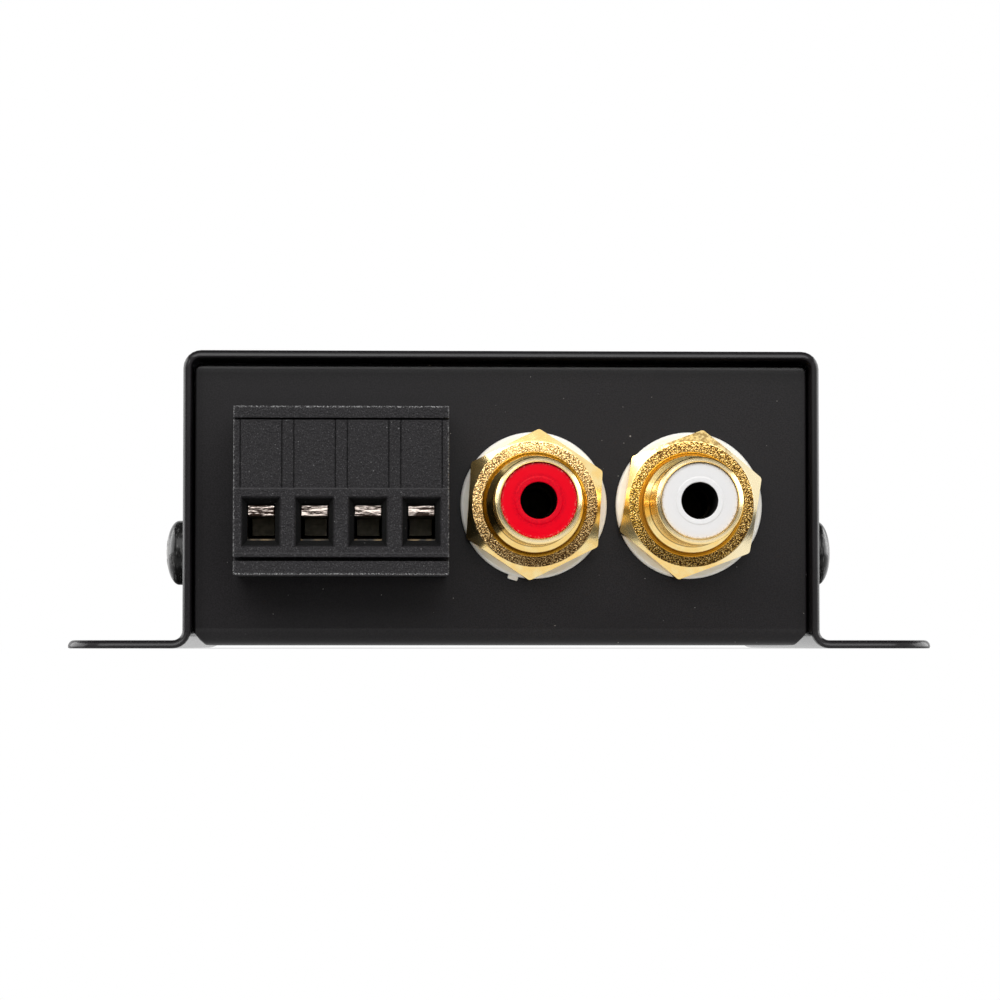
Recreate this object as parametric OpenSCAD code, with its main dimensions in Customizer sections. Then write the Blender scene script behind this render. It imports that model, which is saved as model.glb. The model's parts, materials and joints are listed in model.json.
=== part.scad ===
// Car audio preamplifier in a small case of bent steel sheet.
// The end with the terminal plug and the two output jacks faces -Y.
// The origin is the middle of the mounting holes, on the surface the flanges rest on.

/* [Case] */
// Width of the cover over its side walls
case_w = 62; // [61:0.5:76]
// Depth of the cover from mouth to mouth
case_d = 70; // [68:1:100]
// Height of the cover above the mounting surface
case_h = 29; // [28:0.5:40]
// Thickness of the steel sheet
sheet_t = 0.8; // [0.6:0.1:1.2]
// Inner radius of the wide bends in the sheet
bend_r = 0.95; // [0.6:0.05:1.5]

/* [Flanges] */
// Width of a mounting flange beyond the side wall
flange_w = 11.4; // [9:0.1:16]
// Corner radius of a flange, seen from above
flange_corner_r = 4.5; // [1:0.5:6]
// Diameter of the mounting holes
mount_hole_d = 4.2; // [3:0.1:5]
// Distance between the two holes in one flange
mount_hole_span = 46; // [30:1:54]
// Distance of a mounting hole from the flange's outer edge
mount_hole_edge = 4.6; // [4:0.1:5]

/* [Base tray] */
// How far an end panel sits inside the cover's mouth
panel_recess = 2; // [1:0.1:4]
// Gap between an end panel and each side wall of the cover
panel_side_gap = 0.25; // [0.2:0.05:1]
// Gap between an end panel and the cover's top
panel_top_gap = 0.5; // [0.15:0.05:1.5]
// Height of the tray's underside above the mounting surface
floor_gap = 0.3; // [0.1:0.05:1]
// Depth of the lip folded inward along the top of an end panel
lip_d = 4; // [3.5:0.5:7]
// Inner radius of the tight bend between an end panel and its lip
lip_bend_r = 0.15; // [0.1:0.05:0.5]
// Radius of an end panel's top corners
panel_corner_r = 0.9; // [0.4:0.1:2]
// Width of the slanted cut at an end panel's bottom corners
corner_cut_w = 0.95; // [0.3:0.05:1.1]
// Height of the slanted cut at an end panel's bottom corners
corner_cut_h = 1.3; // [0.5:0.1:2]
// Height of the tray's side walls above the mounting surface
side_wall_h = 14; // [13:0.5:20]
// Gap between a tray side wall and the cover
cover_fit = 0.05; // [0.02:0.01:0.15]
// Length of the open notch between an end panel and a side wall
corner_notch = 3; // [1.5:0.5:5]

/* [Cover screws] */
// Thread diameter of the cover screws
case_screw_d = 3; // [2.5:0.1:3.5]
// Head diameter of the cover screws
case_screw_head_d = 6.4; // [5.2:0.1:7]
// Head height of the cover screws
case_screw_head_h = 2.1; // [1.6:0.1:2.5]
// Length of the cover screws under the head
case_screw_len = 3.5; // [3:0.1:3.9]
// Height of the cover screws above the mounting surface
case_screw_z = 9.5; // [9:0.1:11]
// Distance of a cover screw from the end of the tray's side wall
case_screw_inset = 2.3; // [2.2:0.1:8]
// Height of the straight rim of a screw head
head_rim = 0.4; // [0.2:0.05:0.6]
// Length of the cross recess in a screw head
recess_l = 3.2; // [2:0.1:3.6]
// Width of the cross recess in a screw head
recess_w = 0.8; // [0.5:0.05:1]
// Depth of the cross recess in a screw head
recess_d = 1.2; // [0.6:0.1:1.4]
// Extra diameter of the plain holes that a screw passes
screw_clearance = 0.4; // [0.2:0.05:0.8]
// Extra diameter of the threaded holes that a screw bites in
thread_clearance = 0.06; // [0.04:0.02:0.16]

/* [Circuit board] */
// Thickness of the circuit board
board_t = 1.6; // [1:0.1:2]
// Height of the standoffs under the board
standoff_h = 4.3; // [3.5:0.1:5]
// Gap between the board's side edges and the tray's side walls
board_side_gap = 1; // [0.5:0.1:2]
// Gap between the board's ends and the end panels
board_end_gap = 1.2; // [1.1:0.1:1.8]
// Width across flats of a standoff
standoff_af = 5; // [4.8:0.1:6]
// Diameter of the standoff stems riveted into the tray's floor
standoff_stem_d = 4.2; // [3.8:0.1:4.6]
// Distance of the board screws from the board's side edges
board_hole_inset = 3.8; // [3.2:0.1:4.2]
// Distance between the board screws along the depth
board_hole_span = 28; // [26:1:32]
// Thread diameter of the board screws
board_screw_d = 3; // [2.5:0.1:3]
// Head diameter of the board screws
board_screw_head_d = 5.5; // [5:0.1:6]
// Head height of the board screws
board_screw_head_h = 2; // [1.6:0.1:2.6]
// Length of the board screws under the head
board_screw_len = 5; // [3.5:0.1:6]

/* [Terminal plug] */
// Sideways place of the terminal's middle
plug_x = -15.55; // [-15.9:0.05:-15]
// Distance between neighbouring poles
pole_pitch = 5.08; // [5:0.02:5.2]
// Plastic left beyond the outer poles at each end
plug_end = 0.09; // [0.05:0.01:0.3]
// How far the plug's face stands in front of the end panel
plug_out = 9.2; // [9:0.1:11]
// Gap between the end panel and the plug's shoulder
plug_gap = 0.4; // [0.3:0.05:0.8]
// Height of the plug
plug_h = 16.05; // [15.8:0.05:18]
// Depth of the plug below its pins
plug_below = 5; // [4.9:0.1:5.4]
// Thickness of the strip along the plug's top
plug_top_t = 1.15; // [0.9:0.05:1.4]
// Thickness of the strip along the plug's bottom
plug_bottom_t = 1.43; // [1.2:0.01:1.6]
// Gap above and below the snapped-in front
front_gap = 0.15; // [0.08:0.01:0.3]
// Thickness of the snapped-in front
front_t = 1.8; // [1.6:0.1:2.2]
// Depth that the front's upper half stands back
front_step = 0.2; // [0.05:0.05:0.4]
// Height of the front's upper half above the pins
front_step_z = 3.23; // [2.9:0.01:4]
// Width of the grooves beside the front's ribs
rib_groove_w = 0.14; // [0.08:0.02:0.3]
// Depth of the grooves beside the front's ribs
rib_groove_d = 0.3; // [0.1:0.05:0.6]
// Width of a wire hole
wire_hole_w = 3.8; // [3.4:0.05:4]
// Height of a wire hole
wire_hole_h = 4.86; // [4.4:0.02:5.2]
// Width of a wire hole at its inner end
funnel_w = 2.65; // [2.6:0.05:3]
// Height of a wire hole at its inner end
funnel_h = 3.44; // [3.4:0.02:3.8]
// Depth over which a wire hole narrows
funnel_d = 1.2; // [0.8:0.1:1.4]

/* [Wire clamps] */
// Width of a contact bar
bar_w = 2.5; // [2.3:0.05:2.55]
// Thickness of a contact bar
bar_t = 1; // [0.8:0.05:1.05]
// Height of a contact bar's underside above the pins
bar_rise = 0.6; // [0.4:0.05:0.65]
// Distance of a contact bar's end behind the plug's face
bar_setback = 1.1; // [0.9:0.1:1.4]
// Width of a clamp cage
cage_w = 3.9; // [3.75:0.05:4.1]
// Depth of a clamp cage
cage_d = 4.6; // [4.2:0.1:4.7]
// Thickness of a clamp cage's sides
cage_wall = 0.5; // [0.3:0.05:0.55]
// Thickness of a clamp cage's floor
cage_floor_t = 0.7; // [0.5:0.05:0.9]
// Thickness of a clamp cage's threaded top
cage_top_t = 1.2; // [1:0.05:1.4]
// Space for the wire under the contact bar when the clamp is open
wire_space = 2.13; // [2.1:0.01:2.3]
// How far a clamp cage rises from open to shut
cage_lift = 2; // [1.5:0.05:2]
// Gap between a contact bar and the cage's top when the clamp is open
cage_head_room = 1.2; // [0.8:0.1:1.3]
// Gap in front of and behind a clamp cage
cage_end_gap = 0.5; // [0.3:0.05:0.55]
// Gap at each side of a clamp cage
cage_side_gap = 0.15; // [0.1:0.01:0.2]
// Thread diameter of a clamp screw
clamp_screw_d = 2.9; // [2.6:0.05:3]
// Head diameter of a clamp screw
clamp_head_d = 3.8; // [3.6:0.05:4]
// Head height of a clamp screw
clamp_head_h = 2; // [1.6:0.1:2.2]
// Depth of a clamp screw's head below the plug's top
clamp_head_recess = 0.75; // [0.4:0.05:0.9]
// Width of the slot in a clamp screw
clamp_slot_w = 0.7; // [0.5:0.05:1]
// Depth of the slot in a clamp screw
clamp_slot_d = 0.9; // [0.6:0.05:1.2]
// Gap round a clamp screw in the plug
clamp_fit = 0.1; // [0.06:0.02:0.14]
// Gap round a clamp screw in its cage
clamp_thread_fit = 0.05; // [0.04:0.01:0.1]

/* [Terminal header] */
// Height of the header pins above the board
header_pin_h = 5; // [4.9:0.1:5.6]
// Side of the square header pins
header_pin_w = 1; // [0.8:0.05:1]
// Height of the plug's nose
nose_h = 7.4; // [7:0.1:7.6]
// Reach of the plug's nose behind the end panel's face
nose_len = 8.4; // [7.8:0.1:9]
// Step from the plug's end to the side of its nose
nose_step = 0.2; // [0.15:0.05:0.4]
// Gap round the plug's nose in the header
nose_fit = 0.15; // [0.1:0.01:0.2]
// Thickness of the header's walls
header_wall = 0.8; // [0.6:0.05:0.9]
// Thickness of the header's back
header_back_t = 2.2; // [1.8:0.1:2.6]
// Gap between the end panel and the header
header_panel_gap = 0.2; // [0.1:0.05:0.4]

/* [Phono jacks] */
// Sideways place of the inner jack
jack_x = 3.1; // [3:0.1:5]
// Distance between the two jacks of one end
jack_pitch = 15.2; // [15:0.1:16.5]
// Height of the jack axes above the board
jack_axis_h = 6.95; // [6.8:0.05:8]
// Distance of the jack tips from the end panel's face
jack_tip = 12.5; // [10:0.1:14]
// Outer diameter of a jack sleeve
sleeve_d = 8.3; // [8.1:0.05:8.6]
// Inner diameter of a jack sleeve
sleeve_bore_d = 7.3; // [6.8:0.05:7.5]
// Radius of the rounded tip of a jack sleeve
tip_round_r = 0.4; // [0.2:0.05:0.45]
// Diameter of the jack's threaded part
jack_thread_d = 9; // [8.9:0.05:9.4]
// Length of thread that shows in front of the nut
jack_thread_show = 0.8; // [0.3:0.1:1.5]
// Diameter of the hole for the plug's pin
socket_d = 3.5; // [3.3:0.05:3.6]
// Depth of the insulator's face below the sleeve's tip
insulator_set = 0.3; // [0.1:0.05:0.8]
// Gap between a jack sleeve and its insulator
insulator_fit = 0.03; // [0.02:0.01:0.08]
// Width across flats of a jack nut
nut_af = 12.8; // [11.8:0.1:13]
// Height of a jack nut
nut_h = 2.4; // [1.8:0.1:3.2]
// Diameter of the flat ring left by a jack nut's chamfer
nut_face_d = 12.2; // [11.4:0.1:12.4]
// Diameter of a jack nut's countersink
nut_sink_d = 10.1; // [9.7:0.1:10.6]
// Gap round the thread inside a jack nut
nut_fit = 0.04; // [0.02:0.01:0.08]
// Diameter of the insulating washers
jack_washer_d = 14.3; // [13.8:0.1:14.8]
// Thickness of the insulating washers
jack_washer_t = 1.1; // [0.8:0.1:1.6]
// Diameter of the panel holes for the jacks
jack_hole_d = 10.8; // [10.4:0.1:11.4]
// Gap round the shoulder of an insulating washer
washer_fit = 0.06; // [0.03:0.01:0.15]
// Diameter of the inner washers
inner_washer_d = 13.4; // [12.6:0.1:13.4]
// Thickness of the inner washers
inner_washer_t = 1; // [0.6:0.1:1.1]
// Diameter of the flange on a jack sleeve
sleeve_flange_d = 12.4; // [11.6:0.1:12.6]
// Thickness of the flange on a jack sleeve
sleeve_flange_t = 1.5; // [1:0.1:2]
// Length of the sleeve behind its flange
sleeve_tail = 3; // [2:0.1:4]
// Width of a jack's moulded base
jack_base_w = 11; // [10.4:0.1:12]
// Depth of a jack's moulded base
jack_base_d = 9.7; // [9:0.1:10]
// Height of a jack's moulded base above the axis
jack_base_top = 5.6; // [5:0.1:6.5]
// Outer diameter of a jack's centre contact
contact_d = 4.6; // [4.3:0.05:4.7]
// Inner diameter of a jack's sprung centre contact
contact_bore_d = 3.1; // [3:0.05:3.15]
// Side of the square tails that go down to the board
tail_w = 0.9; // [0.6:0.05:1]
// Distance of a tail behind the front of a jack's moulded base
tail_set = 7.2; // [5:0.1:8.4]
// Length of the tails and pins below the board
tail_below = 1.2; // [0.6:0.1:1.6]

/* [Level control] */
// Sideways place of the level control
level_x = -15.6; // [-17:0.1:-13]
// Height of the level control's axis above the board
level_axis_h = 7; // [6.5:0.1:8]
// Width of the potentiometer
pot_w = 10; // [9.6:0.1:12]
// Depth of the potentiometer
pot_d = 7.5; // [7.2:0.1:9]
// Height of the potentiometer above its axis
pot_top = 5.5; // [5:0.1:7]
// Diameter of the potentiometer's bushing
bush_d = 7; // [6.8:0.1:7.4]
// Length of the bushing in front of the end panel
bush_len = 5; // [4:0.1:6]
// Diameter of the level shaft
shaft_d = 6; // [5.6:0.1:6.1]
// Running gap round the level shaft
shaft_fit = 0.04; // [0.03:0.01:0.08]
// Distance of the shaft's flat from its axis
shaft_flat = 1.5; // [1.2:0.1:2.2]
// Distance of the shaft's end from the end panel's face
shaft_len = 11; // [9.5:0.1:11.2]
// Thickness of the toothed washer under the level nut
level_washer_t = 0.5; // [0.3:0.05:0.6]
// Width across flats of the level nut
level_nut_af = 10; // [9.4:0.1:11]
// Height of the level nut
level_nut_h = 2; // [1.5:0.1:2.1]
// Diameter of the level knob
knob_d = 13; // [11.5:0.1:14]
// Gap between the level knob and the end panel
knob_gap = 3.2; // [3:0.1:3.6]
// Distance of the knob's face from the end panel's face
knob_tip = 12.5; // [12:0.1:14]
// Number of grip flutes round the knob
knob_flutes = 18; // [12:1:24]
// Radius of a grip flute
flute_r = 0.55; // [0.3:0.05:0.6]
// Width of the knob's pointer
pointer_w = 1; // [0.6:0.1:1.6]
// Length of the knob's pointer
pointer_len = 4.5; // [3:0.1:5]
// Depth of the knob's pointer
pointer_t = 0.4; // [0.3:0.05:0.6]

/* [Power lamp] */
// Sideways place of the power lamp
lamp_x = -25; // [-25.5:0.1:-24]
// Height of the power lamp above the board
lamp_axis_h = 7; // [4:0.1:12]
// Diameter of the power lamp
lamp_d = 3; // [2.8:0.1:3.2]
// How far the lamp's dome stands out of the end panel
lamp_out = 1.6; // [1.5:0.1:2.5]

/* [Parts on the board] */
// Length of an amplifier chip
chip_l = 9.4; // [8.8:0.1:10]
// Width of an amplifier chip
chip_w = 6.4; // [6:0.1:7]
// Height of an amplifier chip
chip_h = 3.3; // [2.5:0.1:4]
// Diameter of the electrolytic capacitors
cap_d = 6.3; // [5:0.1:7]
// Height of the electrolytic capacitors
cap_h = 11; // [7:0.5:14]
// Length of the film capacitors
film_l = 7.2; // [6:0.1:7.4]
// Width of the film capacitors
film_w = 2.6; // [2:0.1:3]
// Height of the film capacitors
film_h = 6.5; // [5:0.1:9]
// Diameter of the supply inductor
inductor_d = 10; // [8:0.1:10.5]
// Height of the supply inductor
inductor_h = 6; // [4:0.1:8]
// Width of the regulator
regulator_w = 10; // [9:0.1:10.4]
// Height of the regulator's body
regulator_h = 9; // [8:0.1:10]
// Length of the resistors
resistor_l = 6; // [5:0.1:6.4]
// Diameter of the resistors
resistor_d = 2.3; // [1.6:0.1:2.5]

/* [Hidden] */
$fn = 64;
// Extra reach of a cutting shape past the face it leaves
cut = 0.5;
// Depth by which joined shapes reach into each other
lap = 0.1;
// Share of its size by which the slanted corner cut runs past the sheet
overrun = 0.2;
half_w = case_w / 2;
half_d = case_d / 2;
bend_out = bend_r + sheet_t;
lip_bend_out = lip_bend_r + sheet_t;
flange_x = half_w + flange_w;
mount_x = flange_x - mount_hole_edge;
mount_y = mount_hole_span / 2;
wall_in_x = half_w - sheet_t;
panel_y = half_d - panel_recess;
panel_half_w = wall_in_x - panel_side_gap;
panel_top = case_h - sheet_t - panel_top_gap;
fold_y = panel_y - bend_out;
tray_x = wall_in_x - cover_fit;
floor_half_w = tray_x - bend_out;
side_half_d = fold_y - corner_notch;
case_screw_y = side_half_d - case_screw_inset;
floor_top = floor_gap + sheet_t;
board_bottom = floor_top + standoff_h;
board_top = board_bottom + board_t;
board_half_w = tray_x - sheet_t - board_side_gap;
board_half_d = panel_y - sheet_t - board_end_gap;
board_hole_x = board_half_w - board_hole_inset;
board_hole_y = board_hole_span / 2;
poles = 4;
plug_w = poles * pole_pitch + 2 * plug_end;
pin_z = board_top + header_pin_h;
plug_top = plug_h - plug_below;
front_top = plug_top - plug_top_t - front_gap;
front_bottom = plug_bottom_t + front_gap - plug_below;
front_back = plug_out - front_t;
strip_set = 0.1;
strip_out = plug_out - strip_set;
cage_front = front_back - cage_end_gap;
cage_back = cage_front - cage_d;
chamber_back = cage_back - cage_end_gap;
clamp_out = (cage_front + cage_back) / 2;
bar_top = bar_rise + bar_t;
cage_floor = bar_rise - wire_space;
cage_bottom = cage_floor - cage_floor_t;
cage_roof = bar_top + cage_head_room;
cage_top = cage_roof + cage_top_t;
chamber_w = cage_w + 2 * cage_side_gap;
chamber_bottom = cage_bottom - cage_end_gap / 2;
chamber_top = cage_top + cage_lift + cage_end_gap / 2;
clamp_head_top = plug_top - clamp_head_recess;
clamp_seat = clamp_head_top - clamp_head_h - clamp_fit;
nose_w = plug_w - 2 * nose_step;
header_front = sheet_t + header_panel_gap;
nose_room = 1.2;
header_floor = nose_len + nose_room;
header_back = header_floor + header_back_t;
pin_set = 2.4;
pin_leg_gap = 0.3;
pin_leg_y = -panel_y + header_back + pin_leg_gap + header_pin_w / 2;
tail_room = 0.3;
pin_hole_d = header_pin_w * sqrt(2) + tail_room;
pin_seat_gap = 0.02;
contact_leaf = 0.4;
contact_gap = 0.2;
contact_room = 0.1;
contact_end = 0.3;
contact_half = header_pin_w / 2 + contact_gap + contact_leaf;
contact_drop = 1.1;
bridge_t = 0.8;
bridge_gap = 0.2;
bridge_front = bridge_gap - chamber_back;
bridge_back = bridge_front + bridge_t;
socket_wall = 0.8;
jack_z = board_top + jack_axis_h;
thread_r = jack_thread_d / 2;
nut_z = jack_washer_t;
nut_top = nut_z + nut_h;
thread_end = nut_top + jack_thread_show;
output_right_turn = 26.3;
output_left_turn = 20.6;
input_right_turn = 12;
input_left_turn = 41;
flange_front = -sheet_t - inner_washer_t;
flange_back = flange_front - sleeve_flange_t;
sleeve_back = flange_back - sleeve_tail;
contact_top = 3.9;
contact_floor_t = 0.8;
contact_set = 0.6;
contact_bottom = flange_back - contact_set;
contact_fit = 0.05;
tail_z = flange_back - tail_set;
tail_hole_d = tail_w * sqrt(2) + tail_room;
tail_gap = 0.15;
level_z = board_top + level_axis_h;
pot_panel_gap = 0.1;
pot_front = -sheet_t - pot_panel_gap;
rotor_step = 1;
rotor_r = shaft_d / 2 + rotor_step;
rotor_t = 3;
rotor_gap = 0.3;
rotor_cover = 2.5;
rotor_front = pot_front - rotor_cover;
hood_gap = 0.3;
knob_hood = bush_len + hood_gap;
knob_fit = 0.02;
pointer_edge = 1;
flute_out = 0.2;
level_washer_rim = 0.75;
level_washer_d = level_nut_af + 2 * level_washer_rim;
lamp_z = board_top + lamp_axis_h;
lamp_body = 2.6;
lamp_back = -sheet_t - lamp_body;
lamp_rim_w = 0.4;
lamp_rim_t = 1;
lamp_fit = 0.1;
lead_w = 0.5;
lead_pitch = 2.54;
lead_run = 2;
lead_back = lamp_back - lead_run;
lead_hole_d = lead_w * sqrt(2) + tail_room;
chip_lift = 0.6;
chip_legs = 4;
leg_pitch = 2.2;
leg_w = 0.8;
leg_t = 0.3;
leg_out = 0.6;
leg_rise = 1.3;
leg_z = chip_lift + leg_rise;
chip_y = 1;
chip_xs = [-9, 1, 11];
cap_spots = [[-12, -11], [-4, -11], [5, -11], [14, -11], [20, -2.5], [20, 6]];
film_xs = [-9, 0, 9, 18];
film_y = 12.5;
resistor_xs = [-12, -3.5, 5, 13.5];
resistor_ys = [15.2, 18.3];
inductor_spot = [-19, 4];
regulator_spot = [-20.5, -9];
regulator_t = 4.4;
regulator_lift = 3.5;
regulator_tab_h = 6;
regulator_tab_t = 1.3;
regulator_hole_d = 3.6;
cap_groove_r = 0.4;
cap_groove_z = 1.4;
ring_groove = 0.2;

black_paint = [0.09, 0.09, 0.09];
black_plastic = [0.13, 0.13, 0.13];
gold = [0.83, 0.66, 0.28];
tin = [0.82, 0.78, 0.74];
steel = [0.6, 0.6, 0.6];
red_plastic = [0.8, 0.03, 0.08];
white_plastic = [0.92, 0.91, 0.88];
board_green = [0.05, 0.25, 0.12];
brown = [0.45, 0.3, 0.18];
lamp_green = [0.2, 0.75, 0.3];
cap_blue = [0.1, 0.12, 0.3];
ferrite = [0.2, 0.2, 0.22];

// A quarter of a flat ring, in the first quadrant
module quarter_ring(r_in, r_out) {
  intersection() {
    difference() {
      circle(r = r_out);
      circle(r = r_in);
    }
    square(r_out);
  }
}

// What an arc of radius r leaves outside, for a corner at the origin that points to +x and +y
module corner_waste(r) {
  difference() {
    translate([-r, -r]) square(r + cut);
    translate([-r, -r]) circle(r = r);
  }
}

// A box given by its low and high corner
module span(low, high) {
  translate(low) cube(high - low);
}

// Puts a shape whose axis is Z on the front or the rear end panel, axis pointing outward
module on_front(x, z) {
  translate([x, -panel_y, z]) rotate([90, 0, 0]) children();
}

module on_rear(x, z) {
  translate([x, panel_y, z]) rotate([90, 0, 180]) children();
}

// Repeats a shape in the four quarters of the plan
module four_corners() {
  for (sx = [0, 1], sy = [0, 1]) mirror([sx, 0, 0]) mirror([0, sy, 0]) children();
}

function pole_x(i) = plug_x + (i - (poles + 1) / 2) * pole_pitch;

// Cover: half of its bent section, then the full sheet with holes
module cover_half_section() {
  translate([0, case_h - sheet_t]) square([half_w - bend_out, sheet_t]);
  translate([half_w - bend_out, case_h - bend_out]) quarter_ring(bend_r, bend_out);
  translate([wall_in_x, bend_out]) square([sheet_t, case_h - 2 * bend_out]);
  translate([half_w + bend_r, bend_out]) rotate(180) quarter_ring(bend_r, bend_out);
  translate([half_w + bend_r, 0]) square([flange_w - bend_r, sheet_t]);
}

module cover() {
  color(black_paint) difference() {
    rotate([90, 0, 0]) linear_extrude(case_d, center = true) {
      cover_half_section();
      mirror([1, 0]) cover_half_section();
    }
    four_corners() {
      translate([mount_x, mount_y, -cut]) cylinder(d = mount_hole_d, h = sheet_t + 2 * cut);
      translate([flange_x, half_d, -cut]) linear_extrude(sheet_t + 2 * cut) corner_waste(flange_corner_r);
      translate([wall_in_x - cut, case_screw_y, case_screw_z]) rotate([0, 90, 0])
        cylinder(d = case_screw_d + screw_clearance, h = sheet_t + 2 * cut);
    }
  }
}

// Base tray: end panels folded up with a lip on top, and side walls that take the cover screws
module end_section() {
  translate([fold_y - lap, floor_gap]) square([lap, sheet_t]);
  translate([fold_y, floor_gap + bend_out]) rotate(270) quarter_ring(bend_r, bend_out);
  translate([panel_y - sheet_t, floor_gap + bend_out])
    square([sheet_t, panel_top - floor_gap - bend_out - lip_bend_out]);
  translate([panel_y - lip_bend_out, panel_top - lip_bend_out]) quarter_ring(lip_bend_r, lip_bend_out);
  translate([panel_y - lip_d, panel_top - sheet_t]) square([lip_d - lip_bend_out, sheet_t]);
}

module side_section() {
  translate([floor_half_w - lap, floor_gap]) square([lap, sheet_t]);
  translate([floor_half_w, floor_gap + bend_out]) rotate(270) quarter_ring(bend_r, bend_out);
  translate([tray_x - sheet_t, floor_gap + bend_out]) square([sheet_t, side_wall_h - floor_gap - bend_out]);
}

module slant_waste() {
  low = [panel_half_w - (1 + overrun) * corner_cut_w, floor_gap - overrun * corner_cut_h];
  high = [panel_half_w + overrun * corner_cut_w, floor_gap + (1 + overrun) * corner_cut_h];
  polygon([low, [high[0], low[1]], high]);
}

module front_openings() {
  for (i = [0, 1]) on_front(jack_x + i * jack_pitch, jack_z)
    translate([0, 0, -sheet_t - cut]) cylinder(d = jack_hole_d, h = sheet_t + 2 * cut);
  span([plug_x - nose_w / 2 - nose_fit, -panel_y - cut, pin_z - nose_h / 2 - nose_fit],
    [plug_x + nose_w / 2 + nose_fit, -panel_y + sheet_t + cut, pin_z + nose_h / 2 + nose_fit]);
}

module rear_openings() {
  for (i = [0, 1]) on_rear(jack_x + i * jack_pitch, jack_z)
    translate([0, 0, -sheet_t - cut]) cylinder(d = jack_hole_d, h = sheet_t + 2 * cut);
  on_rear(level_x, level_z) translate([0, 0, -sheet_t - cut])
    cylinder(d = bush_d + screw_clearance, h = sheet_t + 2 * cut);
  on_rear(lamp_x, lamp_z) translate([0, 0, -sheet_t - cut])
    cylinder(d = lamp_d + 2 * lamp_fit, h = sheet_t + 2 * cut);
}

module base_tray() {
  color(black_paint) difference() {
    union() {
      span([-floor_half_w, -fold_y, floor_gap], [floor_half_w, fold_y, floor_top]);
      for (sy = [0, 1]) mirror([0, sy, 0]) rotate([90, 0, 90])
        linear_extrude(2 * panel_half_w, center = true) end_section();
      for (sx = [0, 1]) mirror([sx, 0, 0]) rotate([90, 0, 0])
        linear_extrude(2 * side_half_d, center = true) side_section();
    }
    four_corners() {
      translate([panel_half_w, panel_y + cut, panel_top]) rotate([90, 0, 0])
        linear_extrude(lip_d + 2 * cut) corner_waste(panel_corner_r);
      translate([0, panel_y + cut, 0]) rotate([90, 0, 0])
        linear_extrude(bend_out + cut + lap) slant_waste();
      translate([tray_x - sheet_t - cut, case_screw_y, case_screw_z]) rotate([0, 90, 0])
        cylinder(d = case_screw_d + thread_clearance, h = sheet_t + 2 * cut);
      translate([board_hole_x, board_hole_y, floor_gap - cut])
        cylinder(d = standoff_stem_d + thread_clearance, h = sheet_t + 2 * cut);
    }
    front_openings();
    rear_openings();
  }
}

// Cross-recessed screw with its head above the origin and its shank below
module pan_screw(d, head_d, head_h, length) {
  rise = head_h - head_rim;
  dome = [for (a = [0:9:90]) [head_d / 2 * pow(cos(a), 0.8), head_rim + rise * pow(sin(a), 0.9)]];
  difference() {
    union() {
      rotate_extrude() polygon(concat([[0, 0], [head_d / 2, 0]], dome));
      translate([0, 0, -length]) cylinder(d = d, h = length + lap);
    }
    for (a = [0, 90]) rotate(a)
      span([-recess_l / 2, -recess_w / 2, head_h - recess_d], [recess_l / 2, recess_w / 2, head_h + cut]);
  }
}

module cover_screws() {
  color(black_paint) four_corners() translate([half_w, case_screw_y, case_screw_z]) rotate([0, 90, 0])
    pan_screw(case_screw_d, case_screw_head_d, case_screw_head_h, case_screw_len);
}

// Circuit board and what holds it
module board_hole(x, y, d) {
  translate([x, y, board_bottom - cut]) cylinder(d = d, h = board_t + 2 * cut);
}

module circuit_board() {
  color(board_green) difference() {
    span([-board_half_w, -board_half_d, board_bottom], [board_half_w, board_half_d, board_top]);
    four_corners() board_hole(board_hole_x, board_hole_y, board_screw_d + screw_clearance);
    for (i = [1:poles]) board_hole(pole_x(i), pin_leg_y, pin_hole_d);
    for (i = [0, 1], s = [-1, 1]) board_hole(jack_x + i * jack_pitch, s * (panel_y + tail_z), tail_hole_d);
    for (s = [-1, 1]) board_hole(lamp_x + s * lead_pitch / 2, panel_y + lead_back, lead_hole_d);
  }
}

module board_standoffs() {
  color(steel) four_corners() translate([board_hole_x, board_hole_y, 0]) difference() {
    union() {
      translate([0, 0, floor_top]) cylinder(d = standoff_af / cos(30), h = standoff_h, $fn = 6);
      translate([0, 0, floor_gap]) cylinder(d = standoff_stem_d, h = sheet_t + lap);
    }
    translate([0, 0, floor_gap - cut])
      cylinder(d = board_screw_d + thread_clearance, h = standoff_h + sheet_t + 2 * cut);
  }
}

module board_screws() {
  color(steel) four_corners() translate([board_hole_x, board_hole_y, board_top])
    pan_screw(board_screw_d, board_screw_head_d, board_screw_head_h, board_screw_len);
}

// Terminal header on the board, and its four bent pins
module terminal_header() {
  half = nose_w / 2 + nose_fit;
  seat = header_pin_w / 2 + pin_seat_gap;
  color(black_plastic) difference() {
    span([plug_x - half - header_wall, -panel_y + header_front, board_top],
      [plug_x + half + header_wall, -panel_y + header_back, pin_z + nose_h / 2 + nose_fit + header_wall]);
    span([plug_x - half, -panel_y + header_front - cut, pin_z - nose_h / 2 - nose_fit],
      [plug_x + half, -panel_y + header_floor, pin_z + nose_h / 2 + nose_fit]);
    for (i = [1:poles]) translate([pole_x(i), -panel_y, pin_z])
      span([-seat, header_floor - cut, -seat], [seat, header_back + cut, seat]);
  }
}

module header_pins() {
  h = header_pin_w / 2;
  color(tin) for (i = [1:poles]) translate([pole_x(i), 0, 0]) {
    span([-h, -panel_y + pin_set, pin_z - h], [h, pin_leg_y + h, pin_z + h]);
    span([-h, pin_leg_y - h, board_bottom - tail_below], [h, pin_leg_y + h, pin_z]);
  }
}

// Puts a shape at the plug's pins, in the plane of the end panel's face, with -Y outward
module at_plug() {
  translate([plug_x, -panel_y, pin_z]) children();
}

module at_pole(i) {
  translate([pole_x(i), -panel_y, pin_z]) children();
}

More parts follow.
